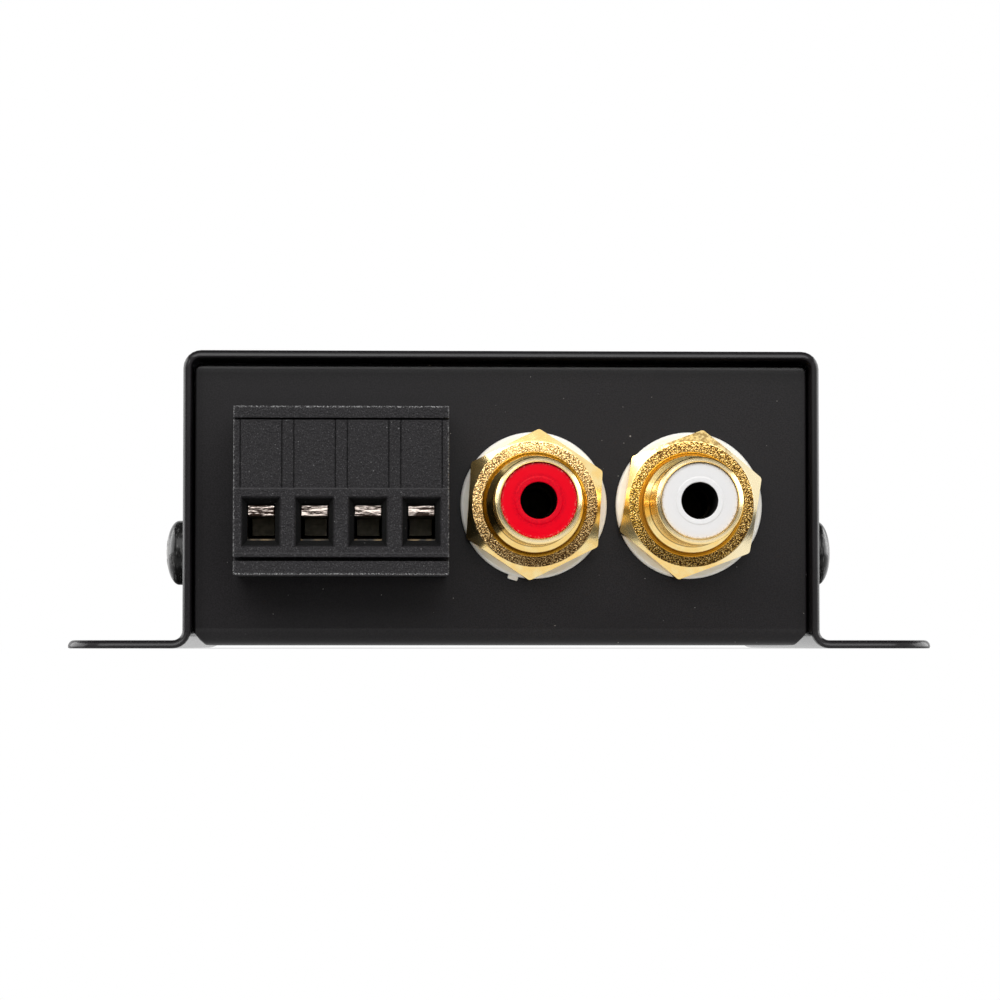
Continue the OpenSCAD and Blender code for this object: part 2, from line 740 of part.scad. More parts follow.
module plug_housing() {
  half = plug_w / 2;
  nose_half = nose_w / 2;
  color(black_plastic) difference() {
    at_plug() union() {
      span([-half, -front_back, -plug_below], [half, -plug_gap, plug_top]);
      span([-half, -strip_out, plug_top - plug_top_t], [half, -front_back, plug_top]);
      span([-half, -strip_out, -plug_below], [half, -front_back, plug_bottom_t - plug_below]);
      span([-nose_half, -plug_gap, -nose_h / 2], [nose_half, nose_len, nose_h / 2]);
    }
    for (i = [1:poles]) at_pole(i) pole_space();
  }
}

// All that is hollow in one pole: chamber for the cage, screw hole, and the socket for the pin
module pole_space() {
  socket_half = max(contact_half, bar_w / 2) + contact_room;
  pin_half = header_pin_w / 2 + 2 * contact_gap;
  span([-chamber_w / 2, -front_back - cut, chamber_bottom], [chamber_w / 2, -chamber_back, chamber_top]);
  span([-socket_half, -chamber_back - cut, -contact_drop - contact_room],
    [socket_half, nose_len - socket_wall, bar_top + contact_room]);
  span([-pin_half, nose_len - socket_wall - cut, -pin_half], [pin_half, nose_len + cut, pin_half]);
  translate([0, -clamp_out, chamber_top - cut]) cylinder(d = clamp_screw_d + 2 * clamp_fit, h = plug_top);
  translate([0, -clamp_out, clamp_seat])
    cylinder(d = clamp_head_d + 2 * clamp_fit, h = plug_top - clamp_seat + cut);
}

// Snapped-in front of the plug with its four funnel-shaped wire holes
module plug_front() {
  half = plug_w / 2;
  color(black_plastic) difference() {
    at_plug() union() {
      span([-half, -plug_out, front_bottom], [half, -front_back, front_step_z]);
      span([-half, -plug_out + front_step, front_step_z], [half, -front_back, front_top]);
    }
    for (i = [1:poles]) at_pole(i) {
      wire_funnel();
      for (s = [-1, 1]) translate([s * (wire_hole_w / 2 + rib_groove_w / 2), 0, 0])
        span([-rib_groove_w / 2, -plug_out - cut, front_step_z],
          [rib_groove_w / 2, -plug_out + front_step + rib_groove_d, front_top + cut]);
    }
  }
}

module wire_funnel() {
  thin = 0.01;
  deep = -plug_out + funnel_d;
  hull() {
    span([-wire_hole_w / 2, -plug_out - thin, -wire_hole_h / 2],
      [wire_hole_w / 2, -plug_out, wire_hole_h / 2]);
    span([-funnel_w / 2, deep, -funnel_h / 2], [funnel_w / 2, deep + thin, funnel_h / 2]);
  }
  span([-funnel_w / 2, deep - thin, -funnel_h / 2], [funnel_w / 2, -front_back + cut, funnel_h / 2]);
}

module plug_contacts() {
  leaf_in = contact_half - contact_leaf;
  color(tin) for (i = [1:poles]) at_pole(i) {
    span([-bar_w / 2, -plug_out + bar_setback, bar_rise], [bar_w / 2, bridge_back, bar_top]);
    span([-contact_half, bridge_front, -contact_drop], [contact_half, bridge_back, bar_top]);
    for (s = [0, 1]) mirror([s, 0, 0]) span([leaf_in, bridge_back - lap, -contact_drop],
      [contact_half, nose_len - socket_wall - contact_end, contact_drop]);
  }
}

module clamp_screw(i) {
  color(steel) at_pole(i) translate([0, -clamp_out, 0]) difference() {
    union() {
      translate([0, 0, bar_top + clamp_fit])
        cylinder(d = clamp_screw_d, h = clamp_head_top - clamp_head_h - bar_top - clamp_fit + lap);
      translate([0, 0, clamp_head_top - clamp_head_h]) cylinder(d = clamp_head_d, h = clamp_head_h);
    }
    span([-clamp_head_d, -clamp_slot_w / 2, clamp_head_top - clamp_slot_d],
      [clamp_head_d, clamp_slot_w / 2, clamp_head_top + cut]);
  }
}

module clamp_cage(i) {
  half = cage_w / 2;
  inner = half - cage_wall;
  color(tin) at_pole(i) difference() {
    span([-half, -cage_front, cage_bottom], [half, -cage_back, cage_top]);
    span([-inner, -cage_front - cut, cage_floor], [inner, -cage_back + cut, cage_roof]);
    translate([0, -clamp_out, cage_roof - cut])
      cylinder(d = clamp_screw_d + 2 * clamp_thread_fit, h = cage_top_t + 2 * cut);
  }
}

// Phono jack, piece by piece, with its axis on Z and the end panel's face at zero
module jack_sleeve() {
  bore = sleeve_bore_d / 2;
  barrel = sleeve_d / 2;
  wide = sleeve_flange_d / 2;
  color(gold) rotate_extrude() difference() {
    polygon([[bore, sleeve_back], [thread_r, sleeve_back], [thread_r, flange_back], [wide, flange_back],
      [wide, flange_front], [thread_r, flange_front], [thread_r, thread_end],
      [barrel, thread_end + thread_r - barrel], [barrel, jack_tip], [bore, jack_tip]]);
    translate([barrel, jack_tip]) corner_waste(tip_round_r);
  }
}

module jack_insulator(tint) {
  outer = sleeve_bore_d / 2 - insulator_fit;
  pocket = contact_d / 2 + contact_fit;
  roof = contact_top + contact_room;
  face = jack_tip - insulator_set;
  color(tint) rotate_extrude() polygon([[tail_hole_d / 2, sleeve_back], [outer, sleeve_back], [outer, face],
    [socket_d / 2, face], [socket_d / 2, roof], [pocket, roof],
    [pocket, contact_bottom], [tail_hole_d / 2, contact_bottom]]);
}

module jack_contact() {
  h = tail_w / 2;
  low = contact_bottom + contact_fit;
  color(gold) {
    difference() {
      translate([0, 0, low]) cylinder(d = contact_d, h = contact_top - low);
      translate([0, 0, low + contact_floor_t]) cylinder(d = contact_bore_d, h = contact_top - low);
    }
    span([-h, -h, tail_z - h], [h, h, low + lap]);
    span([-h, -jack_axis_h - board_t - tail_below, tail_z - h], [h, 0, tail_z + h]);
  }
}

module jack_nut(turn) {
  bore = thread_r + nut_fit;
  sink = nut_sink_d / 2 - bore;
  corner = nut_af / 2 / cos(30);
  steep = tan(30);
  slope = steep * (corner - nut_face_d / 2);
  color(gold) translate([0, 0, nut_z]) difference() {
    intersection() {
      rotate(turn) cylinder(r = corner, h = nut_h, $fn = 6);
      rotate_extrude() polygon([[0, 0], [corner + cut, 0], [corner + cut, nut_h - slope - steep * cut],
        [nut_face_d / 2, nut_h], [0, nut_h]]);
    }
    translate([0, 0, -cut]) cylinder(r = bore, h = nut_h + 2 * cut);
    translate([0, 0, nut_h - sink]) cylinder(r1 = bore, r2 = bore + sink + cut, h = sink + cut);
  }
}

module jack_washer() {
  inner = thread_r + washer_fit;
  shoulder = jack_hole_d / 2 - washer_fit;
  outer = jack_washer_d / 2;
  low = washer_fit - sheet_t;
  color(white_plastic) rotate_extrude() polygon([[inner, low], [shoulder, low], [shoulder, 0],
    [outer, 0], [outer, jack_washer_t], [inner, jack_washer_t]]);
}

module jack_inner_washer() {
  color(white_plastic) translate([0, 0, flange_front]) difference() {
    cylinder(d = inner_washer_d, h = inner_washer_t);
    translate([0, 0, -cut]) cylinder(r = thread_r + washer_fit, h = inner_washer_t + 2 * cut);
  }
}

module jack_base() {
  half = jack_base_w / 2;
  channel = tail_w / 2 + tail_gap;
  color(black_plastic) difference() {
    span([-half, -jack_axis_h, flange_back - jack_base_d], [half, jack_base_top, flange_back]);
    translate([0, 0, sleeve_back - contact_fit])
      cylinder(r = thread_r + insulator_fit, h = sleeve_tail + contact_fit + cut);
    span([-channel, -channel, tail_z - channel], [channel, channel, sleeve_back + cut]);
    span([-channel, -jack_axis_h - cut, tail_z - channel], [channel, 0, tail_z + channel]);
  }
}

// Where the four jacks sit: red is the right channel, white the left
module at_output_right() {
  on_front(jack_x, jack_z) children();
}

module at_output_left() {
  on_front(jack_x + jack_pitch, jack_z) children();
}

module at_input_right() {
  on_rear(jack_x, jack_z) children();
}

module at_input_left() {
  on_rear(jack_x + jack_pitch, jack_z) children();
}

module jack_inner_washers() {
  at_output_right() jack_inner_washer();
  at_output_left() jack_inner_washer();
  at_input_right() jack_inner_washer();
  at_input_left() jack_inner_washer();
}

// Level control on the rear end panel
module at_level() {
  on_rear(level_x, level_z) children();
}

module level_pot() {
  bore = shaft_d / 2 + shaft_fit;
  rotor_back = rotor_front - rotor_t - 2 * rotor_gap;
  color(steel) at_level() difference() {
    union() {
      span([-pot_w / 2, -level_axis_h, pot_front - pot_d], [pot_w / 2, pot_top, pot_front]);
      translate([0, 0, pot_front - lap]) cylinder(d = bush_d, h = bush_len - pot_front + lap);
    }
    translate([0, 0, rotor_back]) cylinder(r = rotor_r + rotor_gap, h = rotor_front - rotor_back);
    translate([0, 0, rotor_front - cut]) cylinder(r = bore, h = bush_len - rotor_front + 2 * cut);
  }
}

module shaft_section(grow) {
  r = shaft_d / 2 + grow;
  intersection() {
    circle(r = r);
    translate([-r - cut, -r - cut]) square([2 * (r + cut), r + cut + shaft_flat + grow]);
  }
}

module level_shaft() {
  rotor_end = rotor_front - rotor_gap;
  color(steel) at_level() {
    translate([0, 0, rotor_end - rotor_t]) cylinder(r = rotor_r, h = rotor_t);
    translate([0, 0, rotor_end - lap]) cylinder(d = shaft_d, h = knob_hood - rotor_end + lap);
    translate([0, 0, knob_hood - lap]) linear_extrude(shaft_len - knob_hood + lap) shaft_section(0);
  }
}

module level_knob() {
  color(black_plastic) at_level() difference() {
    translate([0, 0, knob_gap]) cylinder(d = knob_d, h = knob_tip - knob_gap);
    for (i = [0:knob_flutes - 1]) rotate((i + 0.5) * 360 / knob_flutes)
      translate([knob_d / 2 + flute_out, 0, knob_gap - cut])
        cylinder(r = flute_r, h = knob_tip - knob_gap + 2 * cut);
    translate([0, 0, knob_gap - cut]) cylinder(r = bush_d / 2 + hood_gap, h = knob_hood - knob_gap + cut);
    translate([0, 0, knob_hood - cut])
      linear_extrude(shaft_len - knob_hood + cut + lap) shaft_section(knob_fit);
    pointer_bar(knob_fit, cut);
  }
}

module pointer_bar(side, over) {
  high = knob_d / 2 - pointer_edge;
  span([-pointer_w / 2 - side, high - pointer_len - side, knob_tip - pointer_t],
    [pointer_w / 2 + side, high + side, knob_tip + over]);
}

module knob_pointer() {
  color(white_plastic) at_level() pointer_bar(0, 0);
}

module level_nut() {
  color(steel) at_level() translate([0, 0, level_washer_t]) difference() {
    cylinder(d = level_nut_af / cos(30), h = level_nut_h, $fn = 6);
    translate([0, 0, -cut]) cylinder(r = bush_d / 2 + nut_fit, h = level_nut_h + 2 * cut);
  }
}

module level_washer() {
  color(steel) at_level() difference() {
    cylinder(d = level_washer_d, h = level_washer_t);
    translate([0, 0, -cut]) cylinder(r = bush_d / 2 + washer_fit, h = level_washer_t + 2 * cut);
  }
}

// Power lamp: domed lens with two leads bent down to the board
module power_lamp() {
  r = lamp_d / 2;
  h = lead_w / 2;
  color(lamp_green) on_rear(lamp_x, lamp_z) {
    rotate_extrude() {
      translate([0, lamp_back]) square([r + lamp_rim_w, lamp_rim_t]);
      translate([0, lamp_back]) square([r, lamp_out - r - lamp_back]);
      translate([0, lamp_out - r]) intersection() {
        circle(r = r);
        square(r);
      }
    }
    for (s = [-1, 1]) translate([s * lead_pitch / 2, 0, 0]) {
      span([-h, -h, lead_back - h], [h, h, lamp_back + lap]);
      span([-h, -lamp_axis_h - board_t - tail_below, lead_back - h], [h, 0, lead_back + h]);
    }
  }
}

// Parts on the board
module amplifier_chips() {
  first = (1 - chip_legs) / 2;
  color(black_plastic) for (x = chip_xs) translate([x, chip_y, board_top]) {
    span([-chip_w / 2, -chip_l / 2, chip_lift], [chip_w / 2, chip_l / 2, chip_lift + chip_h]);
    for (s = [0, 1], k = [0:chip_legs - 1]) mirror([s, 0, 0])
      translate([chip_w / 2, (k + first) * leg_pitch, 0]) {
        span([-lap, -leg_w / 2, leg_z - leg_t], [leg_out, leg_w / 2, leg_z]);
        span([leg_out - leg_t, -leg_w / 2, 0], [leg_out, leg_w / 2, leg_z]);
      }
  }
}

module electrolytic_capacitors() {
  color(cap_blue) for (p = cap_spots) translate([p[0], p[1], board_top]) rotate_extrude() difference() {
    square([cap_d / 2, cap_h]);
    translate([cap_d / 2, cap_groove_z]) circle(r = cap_groove_r);
  }
}

module film_capacitors() {
  color(red_plastic) for (x = film_xs) translate([x - film_l / 2, film_y - film_w / 2, board_top])
    cube([film_l, film_w, film_h]);
}

module supply_inductor() {
  ring_r = inductor_d / 2 - 3 * ring_groove;
  color(ferrite) translate([inductor_spot[0], inductor_spot[1], board_top]) rotate_extrude() difference() {
    square([inductor_d / 2, inductor_h]);
    translate([ring_r, inductor_h - 2 * ring_groove]) square([ring_groove, 2 * ring_groove + cut]);
  }
}

module regulator() {
  w = regulator_w / 2;
  back = regulator_t / 2;
  top = regulator_lift + regulator_h;
  color(black_plastic) translate([regulator_spot[0], regulator_spot[1], board_top]) difference() {
    union() {
      span([-w, -back, regulator_lift], [w, back, top]);
      span([-w, back - regulator_tab_t, top - lap], [w, back, top + regulator_tab_h]);
      for (k = [-1:1]) translate([k * lead_pitch, 0, 0])
        span([-leg_w / 2, -leg_t, 0], [leg_w / 2, leg_t, regulator_lift + lap]);
    }
    translate([0, back + cut, top + regulator_tab_h / 2]) rotate([90, 0, 0])
      cylinder(d = regulator_hole_d, h = regulator_tab_t + 2 * cut);
  }
}

module resistors() {
  h = lead_w / 2;
  end = resistor_l / 2;
  color(brown) for (x = resistor_xs, y = resistor_ys) translate([x, y, board_top]) {
    translate([-end, 0, resistor_d / 2]) rotate([0, 90, 0]) cylinder(d = resistor_d, h = resistor_l);
    for (s = [0, 1]) mirror([s, 0, 0]) {
      span([end - lap, -h, resistor_d / 2 - h], [end + 2 * lead_w, h, resistor_d / 2 + h]);
      span([end + lead_w, -h, 0], [end + 2 * lead_w, h, resistor_d / 2 + h]);
    }
  }
}

base_tray();
cover();
cover_screws();
circuit_board();
board_standoffs();
board_screws();
terminal_header();
header_pins();
plug_housing();
plug_front();
plug_contacts();
clamp_screw(1);  // clamp_screw_1
clamp_screw(2);  // clamp_screw_2
clamp_screw(3);  // clamp_screw_3
clamp_screw(4);  // clamp_screw_4
clamp_cage(1);  // clamp_cage_1
clamp_cage(2);  // clamp_cage_2
clamp_cage(3);  // clamp_cage_3
clamp_cage(4);  // clamp_cage_4
at_output_right() jack_sleeve();  // output_right_sleeve
at_output_right() jack_insulator(red_plastic);  // output_right_insulator
at_output_right() jack_contact();  // output_right_contact
at_output_right() jack_nut(output_right_turn);  // output_right_nut
at_output_right() jack_washer();  // output_right_washer
at_output_right() jack_base();  // output_right_base
at_output_left() jack_sleeve();  // output_left_sleeve
at_output_left() jack_insulator(white_plastic);  // output_left_insulator
at_output_left() jack_contact();  // output_left_contact
at_output_left() jack_nut(output_left_turn);  // output_left_nut
at_output_left() jack_washer();  // output_left_washer
at_output_left() jack_base();  // output_left_base
at_input_right() jack_sleeve();  // input_right_sleeve
at_input_right() jack_insulator(red_plastic);  // input_right_insulator
at_input_right() jack_contact();  // input_right_contact
at_input_right() jack_nut(input_right_turn);  // input_right_nut
at_input_right() jack_washer();  // input_right_washer
at_input_right() jack_base();  // input_right_base
at_input_left() jack_sleeve();  // input_left_sleeve
at_input_left() jack_insulator(white_plastic);  // input_left_insulator
at_input_left() jack_contact();  // input_left_contact
at_input_left() jack_nut(input_left_turn);  // input_left_nut
at_input_left() jack_washer();  // input_left_washer
at_input_left() jack_base();  // input_left_base
jack_inner_washers();
level_pot();
level_shaft();
level_knob();
knob_pointer();
level_nut();
level_washer();
power_lamp();
amplifier_chips();
electrolytic_capacitors();
film_capacitors();
supply_inductor();
regulator();
resistors();
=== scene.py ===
# %% [markdown]
# # Dressing a car audio preamplifier
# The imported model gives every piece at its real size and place. This lesson builds the pieces
# that show a second time, with the rounded edges, lathe marks and mouldings that a camera sees,
# and gives every surface a finish made from nodes. Lengths are in millimetres, apart from the studio's.
# Most places come from the boxes of the solids, and the finer sizes are named values.

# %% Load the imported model
import json
import math

import bmesh
import bpy
from mathutils import Matrix, Vector

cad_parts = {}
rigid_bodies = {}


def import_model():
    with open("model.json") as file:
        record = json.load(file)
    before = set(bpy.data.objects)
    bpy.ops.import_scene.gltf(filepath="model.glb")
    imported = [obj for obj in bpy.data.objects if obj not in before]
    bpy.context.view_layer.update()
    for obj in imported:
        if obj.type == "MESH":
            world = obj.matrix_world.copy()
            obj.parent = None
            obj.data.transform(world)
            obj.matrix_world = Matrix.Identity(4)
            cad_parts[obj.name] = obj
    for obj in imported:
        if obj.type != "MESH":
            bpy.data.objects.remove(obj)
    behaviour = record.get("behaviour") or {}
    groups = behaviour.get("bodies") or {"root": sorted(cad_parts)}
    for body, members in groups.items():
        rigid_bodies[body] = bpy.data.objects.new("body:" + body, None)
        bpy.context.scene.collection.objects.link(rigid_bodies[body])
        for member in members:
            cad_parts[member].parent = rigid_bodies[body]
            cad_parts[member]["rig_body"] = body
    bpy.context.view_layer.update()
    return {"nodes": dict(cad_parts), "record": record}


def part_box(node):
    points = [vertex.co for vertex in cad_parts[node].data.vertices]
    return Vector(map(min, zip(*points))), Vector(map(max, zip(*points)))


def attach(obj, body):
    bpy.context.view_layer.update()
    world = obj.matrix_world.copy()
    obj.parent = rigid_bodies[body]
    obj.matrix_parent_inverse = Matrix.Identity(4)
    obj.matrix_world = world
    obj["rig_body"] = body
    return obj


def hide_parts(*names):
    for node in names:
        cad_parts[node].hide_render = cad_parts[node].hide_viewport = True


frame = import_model()
nodes = frame["nodes"]
slot_of = {row["node"]: row["material_slot"] for row in frame["record"]["subparts"]}
MM = 0.001


def span(node):
    """Lowest and highest corner of a solid, in millimetres."""
    low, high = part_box(node)
    return low / MM, high / MM


def middle(node):
    low, high = span(node)
    return (low + high) / 2


# %% [markdown]
# ## Camera
# The photograph looks straight at the terminal end from about a third of a metre, low enough that
# the eye is level with the flanges. A shifted sensor would keep the sides of the case upright in the
# picture, but the turn is only about 3 degrees, so the camera simply looks at a point on the panel.

# %% Place the camera
PANEL_Y = span("base_tray")[0].y
EYE = Vector((-11.6, PANEL_Y - 330.0, 0.5))
TARGET = Vector((-0.15, PANEL_Y, 14.5))
FRAME_W = 97.8


def linked(name, data):
    """An object for this data, put in the scene."""
    made = bpy.data.objects.new(name, data)
    bpy.context.scene.collection.objects.link(made)
    return made


def facing(start, aim):
    """The turn that points a camera or a lamp from start to aim."""
    return (Vector(aim) - Vector(start)).to_track_quat("-Z", "Y").to_euler()


camera_data = bpy.data.cameras.new("camera")
camera = linked("camera", camera_data)
bpy.context.scene.camera = camera
camera.location = EYE * MM
camera.rotation_euler = facing(EYE, TARGET)
camera_data.sensor_width = 36.0
camera_data.lens = camera_data.sensor_width * (TARGET - EYE).length / FRAME_W
camera_data.clip_start = 0.01
camera_data.clip_end = 50.0
print("camera", round((TARGET - EYE).length, 1), "mm away, lens", round(camera_data.lens, 1), "mm")

# %% [markdown]
# ## Sums with sockets
# Wiring Math nodes by hand hides what they work out, so a small class wraps a socket and takes part in
# Python sums: `1 - mask * 0.5` adds the Math nodes. Every other node comes from one method.

# %% Socket sums and the node method


def sum_of(operation, swapped=False):
    """A method that adds one Math node. Swapped, the other value comes first, as in 1 - mask."""
    def method(field, other):
        pair = (other, field) if swapped else (field, other)
        return field.tree.node("ShaderNodeMath", {"operation": operation}, dict(enumerate(pair)))
    return method


class Field:
    """A shader socket that joins in Python sums."""

    def __init__(self, tree, socket):
        self.tree = tree
        self.socket = socket

    __add__, __radd__ = sum_of("ADD"), sum_of("ADD", True)
    __sub__, __rsub__ = sum_of("SUBTRACT"), sum_of("SUBTRACT", True)
    __mul__, __rmul__ = sum_of("MULTIPLY"), sum_of("MULTIPLY", True)
    __pow__ = sum_of("POWER")
    most = sum_of("MAXIMUM")

    def __abs__(self):
        return self.tree.node("ShaderNodeMath", {"operation": "ABSOLUTE"}, {0: self})

    def rising(self, low, high):
        """0 below low, 1 above high, with a soft step between. low above high gives a falling step."""
        return self.tree.node("ShaderNodeMapRange", {"interpolation_type": "SMOOTHSTEP"},
                              {"Value": self, "From Min": low, "From Max": high})

    def within(self, low, high, soft):
        """1 between low and high, 0 outside, with soft edges."""
        return self.rising(low - soft, low + soft) * self.rising(high + soft, high - soft)


class Nodes:
    """A node tree and the one method that adds to it."""

    def __init__(self, tree):
        self.tree = tree

    def node(self, kind, settings=None, inputs=None, output=0):
        """One node: its type, its settings, and the values or links of its sockets."""
        made = self.tree.nodes.new(kind)
        for name, value in (settings or {}).items():
            setattr(made, name, value)
        for name, value in (inputs or {}).items():
            self.join(made.inputs[name], value)
        return Field(self, made.outputs[output])

    def join(self, socket, value):
        if isinstance(value, Field):
            self.tree.links.new(value.socket, socket)
        else:
            socket.default_value = value


print("socket sums ready")

# %% [markdown]
# ## Finishes
# A finish is one Principled shader and the nodes that vary it. Its patterns are methods of one class, so
# a finish reads as a list of what the real surface shows. They read Object coordinates, turned into
# millimetres by a Mapping node, so a grain of 0.2 mm is written as 0.2 mm.

# %% The finish class


class Finish(Nodes):
    """A material with one Principled shader, and the nodes that vary it."""

    def __init__(self, name, colour, roughness, settings=None):
        self.material = bpy.data.materials.new(name)
        self.material.use_nodes = True
        super().__init__(self.material.node_tree)
        self.shader = self.tree.nodes["Principled BSDF"]
        self.give("Base Color", (*colour, 1.0))
        self.give("Roughness", roughness)
        for socket, value in (settings or {}).items():
            self.give(socket, value)
        self.mm = self.stretched(1, 1, 1)

    def give(self, socket, value):
        """A value or a pattern for one socket of the shader."""
        self.join(self.shader.inputs[socket], value)

    def stretched(self, *scale):
        """Object coordinates in millimetres, stretched by a scale for each axis."""
        raw = self.node("ShaderNodeTexCoord", output=3)
        return self.node("ShaderNodeMapping", None, {"Vector": raw, "Scale": [s / MM for s in scale]})

    def axes(self):
        """The three coordinates, apart."""
        split = self.node("ShaderNodeSeparateXYZ", None, {0: self.mm}).socket.node
        return [Field(self, socket) for socket in split.outputs]

    def joined(self, x, y, z):
        return self.node("ShaderNodeCombineXYZ", None, {0: x, 1: y, 2: z})

    def noise(self, size, detail=2.0, rough=0.5, place=None):
        """Cloudy noise from 0 to 1 with features of about size millimetres."""
        return self.node("ShaderNodeTexNoise", None, {"Vector": place or self.mm, "Scale": 1 / size,
                                                      "Detail": detail, "Roughness": rough})

    def cells(self, size):
        """Distance to scattered points about size millimetres apart, in cell widths."""
        return self.node("ShaderNodeTexVoronoi", None, {"Vector": self.mm, "Scale": 1 / size})

    def specks(self, size, share):
        """Small scattered dots: 1 in a dot, 0 elsewhere. share is the dot's width in its cell."""
        lot = self.noise(size * 2.3, 0.0)
        return self.cells(size).rising(share, share * 0.5) * lot.rising(0.5, 0.56)

    def blend(self, mask, first, second):
        """A colour that goes from first to second as the mask goes from 0 to 1."""
        first, second = [(*c, 1.0) if isinstance(c, tuple) else c for c in (first, second)]
        return self.node("ShaderNodeMix", {"data_type": "RGBA"}, {0: mask, 6: first, 7: second}, output=2)

    def made(self, colour, roughness, *bumps):
        """The material with its colour, its roughness, and bump from (height field, depth in millimetres)."""
        self.give("Base Color", colour)
        self.give("Roughness", roughness)
        below = {}
        for height, depth in bumps:
            inputs = {"Height": height, "Distance": depth * MM, "Strength": 1.0, **below}
            below = {"Normal": self.node("ShaderNodeBump", None, inputs)}
        for socket, normal in below.items():
            self.give(socket, normal)
        print("finish", self.material.name, "of", len(self.tree.nodes), "nodes")
        return self.material


print("finish class ready")

# %% [markdown]
# ## Floor and cards
# The photograph is a product shot on white in a room that is dark below the lamp: gold turns bronze where
# it faces down. A plain white world would wash that out, so dark cards stand in for the room, as a
# photographer's flags do. They show in reflections, not to the camera, and only the one on the table also
# dims the light from below. The floor shows white to the camera and keeps a soft shadow near the case,
# which fades out over that card.

# %% Floor and cards
FLOOR_HALF = 4.0
FLOOR_DROP = 0.00002
SHADOW_NEAR, SHADOW_FAR = 60.0, 160.0
FLOOR_GLOW = 0.7
CARD_FADE = (-36.0, -52.0)
# Low and high corner of each card, in metres
CARDS = {"upright_card": ((-0.60, -0.63, 0.0), (0.0, -0.62, 0.055)),
         "low_card": ((0.0, -0.63, 0.0), (0.4, -0.62, 0.016)),
         "side_card": ((-0.60, -0.62, 0.0), (-0.59, -0.15, 0.16)),
         "ceiling_card": ((-0.9, -0.25, 0.75), (0.9, 0.9, 0.76)),
         "table_card": ((-0.59, -0.62, 0.0), (0.25, -0.052, 0.001))}


def block(low, high):
    """A box from its low corner to its high corner."""
    low, high = Vector(low), Vector(high)
    bm = bmesh.new()
    bmesh.ops.create_cube(bm, size=1.0)
    bmesh.ops.scale(bm, vec=high - low, verts=bm.verts[:])
    bmesh.ops.translate(bm, vec=(low + high) / 2, verts=bm.verts[:])
    return bm


def as_mesh(name, bm):
    """A mesh of this shape. The bmesh is used up."""
    mesh = bpy.data.meshes.new(name)
    bm.to_mesh(mesh)
    bm.free()
    return mesh


def staged(name, bm, material):
    """A piece of the studio."""
    made = linked(name, as_mesh(name, bm))
    made.data.materials.append(material)
    return made


def showing(tree):
    """1 for rays that show the background, also in metal and glass, and 0 for rays that only carry light."""
    ways = ("Camera", "Glossy", "Transmission")
    first, second, third = [tree.node("ShaderNodeLightPath", output=f"Is {way} Ray") for way in ways]
    return first.most(second).most(third)


def floor_paper():
    """Pale paper that shows white away from the object and takes its shadow close by."""
    paper = Finish("pale_floor", (0.86, 0.86, 0.86), 0.9, {"Specular IOR Level": 0.1})
    x, y, _ = paper.axes()
    away = ((x * x + y * y) ** 0.5).rising(SHADOW_NEAR, SHADOW_FAR).most(y.rising(*CARD_FADE))
    share = showing(paper) * (FLOOR_GLOW + away * (1 - FLOOR_GLOW))
    lit = Field(paper, paper.shader.outputs[0])
    both = paper.node("ShaderNodeMixShader", None, {0: share, 1: lit, 2: paper.node("ShaderNodeEmission")})
    paper.join(paper.tree.nodes["Material Output"].inputs[0], both)
    return paper.material


floor = bmesh.new()
bmesh.ops.create_grid(floor, x_segments=1, y_segments=1, size=FLOOR_HALF)
bmesh.ops.translate(floor, vec=(0, 0, -FLOOR_DROP), verts=floor.verts[:])
staged("floor", floor, floor_paper())
CARD_GREY = Finish("grey_card", (0.02, 0.02, 0.021), 0.8).material
for name, corners in CARDS.items():
    card = staged(name, block(*corners), CARD_GREY)
    card.visible_camera = False
    card.visible_shadow = False
    card.visible_diffuse = name == "table_card"
print("cards staged:", len(CARDS))

# %% [markdown]
# ## Lamps and world
# One broad soft light stands in front and above, a weaker one overhead fills in, and a strip on each side
# draws the edges. The overhead light isn't mirrored, because the photographed metal shows no second lamp.
# The world looks white, but lights the object much less.

# %% Lamps and world
WORLD_FILL = 0.22


def lamp(name, at, aim, width, height, watts):
    """A soft rectangular light, in metres."""
    data = bpy.data.lights.new(name, "AREA")
    data.shape = "RECTANGLE"
    data.size = width
    data.size_y = height
    data.energy = watts
    made = linked(name, data)
    made.location = at
    made.rotation_euler = facing(at, aim)
    return made


lamp("front_light", (-0.08, -0.62, 0.41), (0.0, -0.03, 0.015), 0.8, 0.45, 5.5)
lamp("top_light", (0.0, 0.05, 0.6), (0.0, 0.0, 0.01), 0.7, 0.6, 1.5).visible_glossy = False
for name, x in (("left_strip", -0.5), ("right_strip", 0.5)):
    lamp(name, (x, 0.12, 0.17), (0.0, 0.0, 0.015), 0.62, 0.34, 3.0)

world = bpy.data.worlds.new("studio")
bpy.context.scene.world = world
world.use_nodes = True
air = Nodes(world.node_tree)
sky = world.node_tree.nodes["Background"]
air.join(sky.inputs["Color"], (1, 1, 1, 1))
air.join(sky.inputs["Strength"], WORLD_FILL + showing(air) * (1 - WORLD_FILL))
bpy.context.scene.view_settings.view_transform = "Standard"
print("lamps:", len(bpy.data.lights), "world fill:", WORLD_FILL)

# %% [markdown]
# ## Satin black paint
# The case is bent steel with a satin black coat: a fine orange peel, faint clouding, and dust that no
# studio quite gets rid of. Dust could be modelled, but as scattered dots in colour and roughness it
# costs nothing and sits on every face. The clear coat is left off the sheet's inner faces beside the
# panel, which stay dark, and is full on the low bends, which mirror the white floor.

# %% Case paint
WALL = 31.0
COVER_TOP = span("cover")[1].z
DUST = (0.22, 0.21, 0.20)


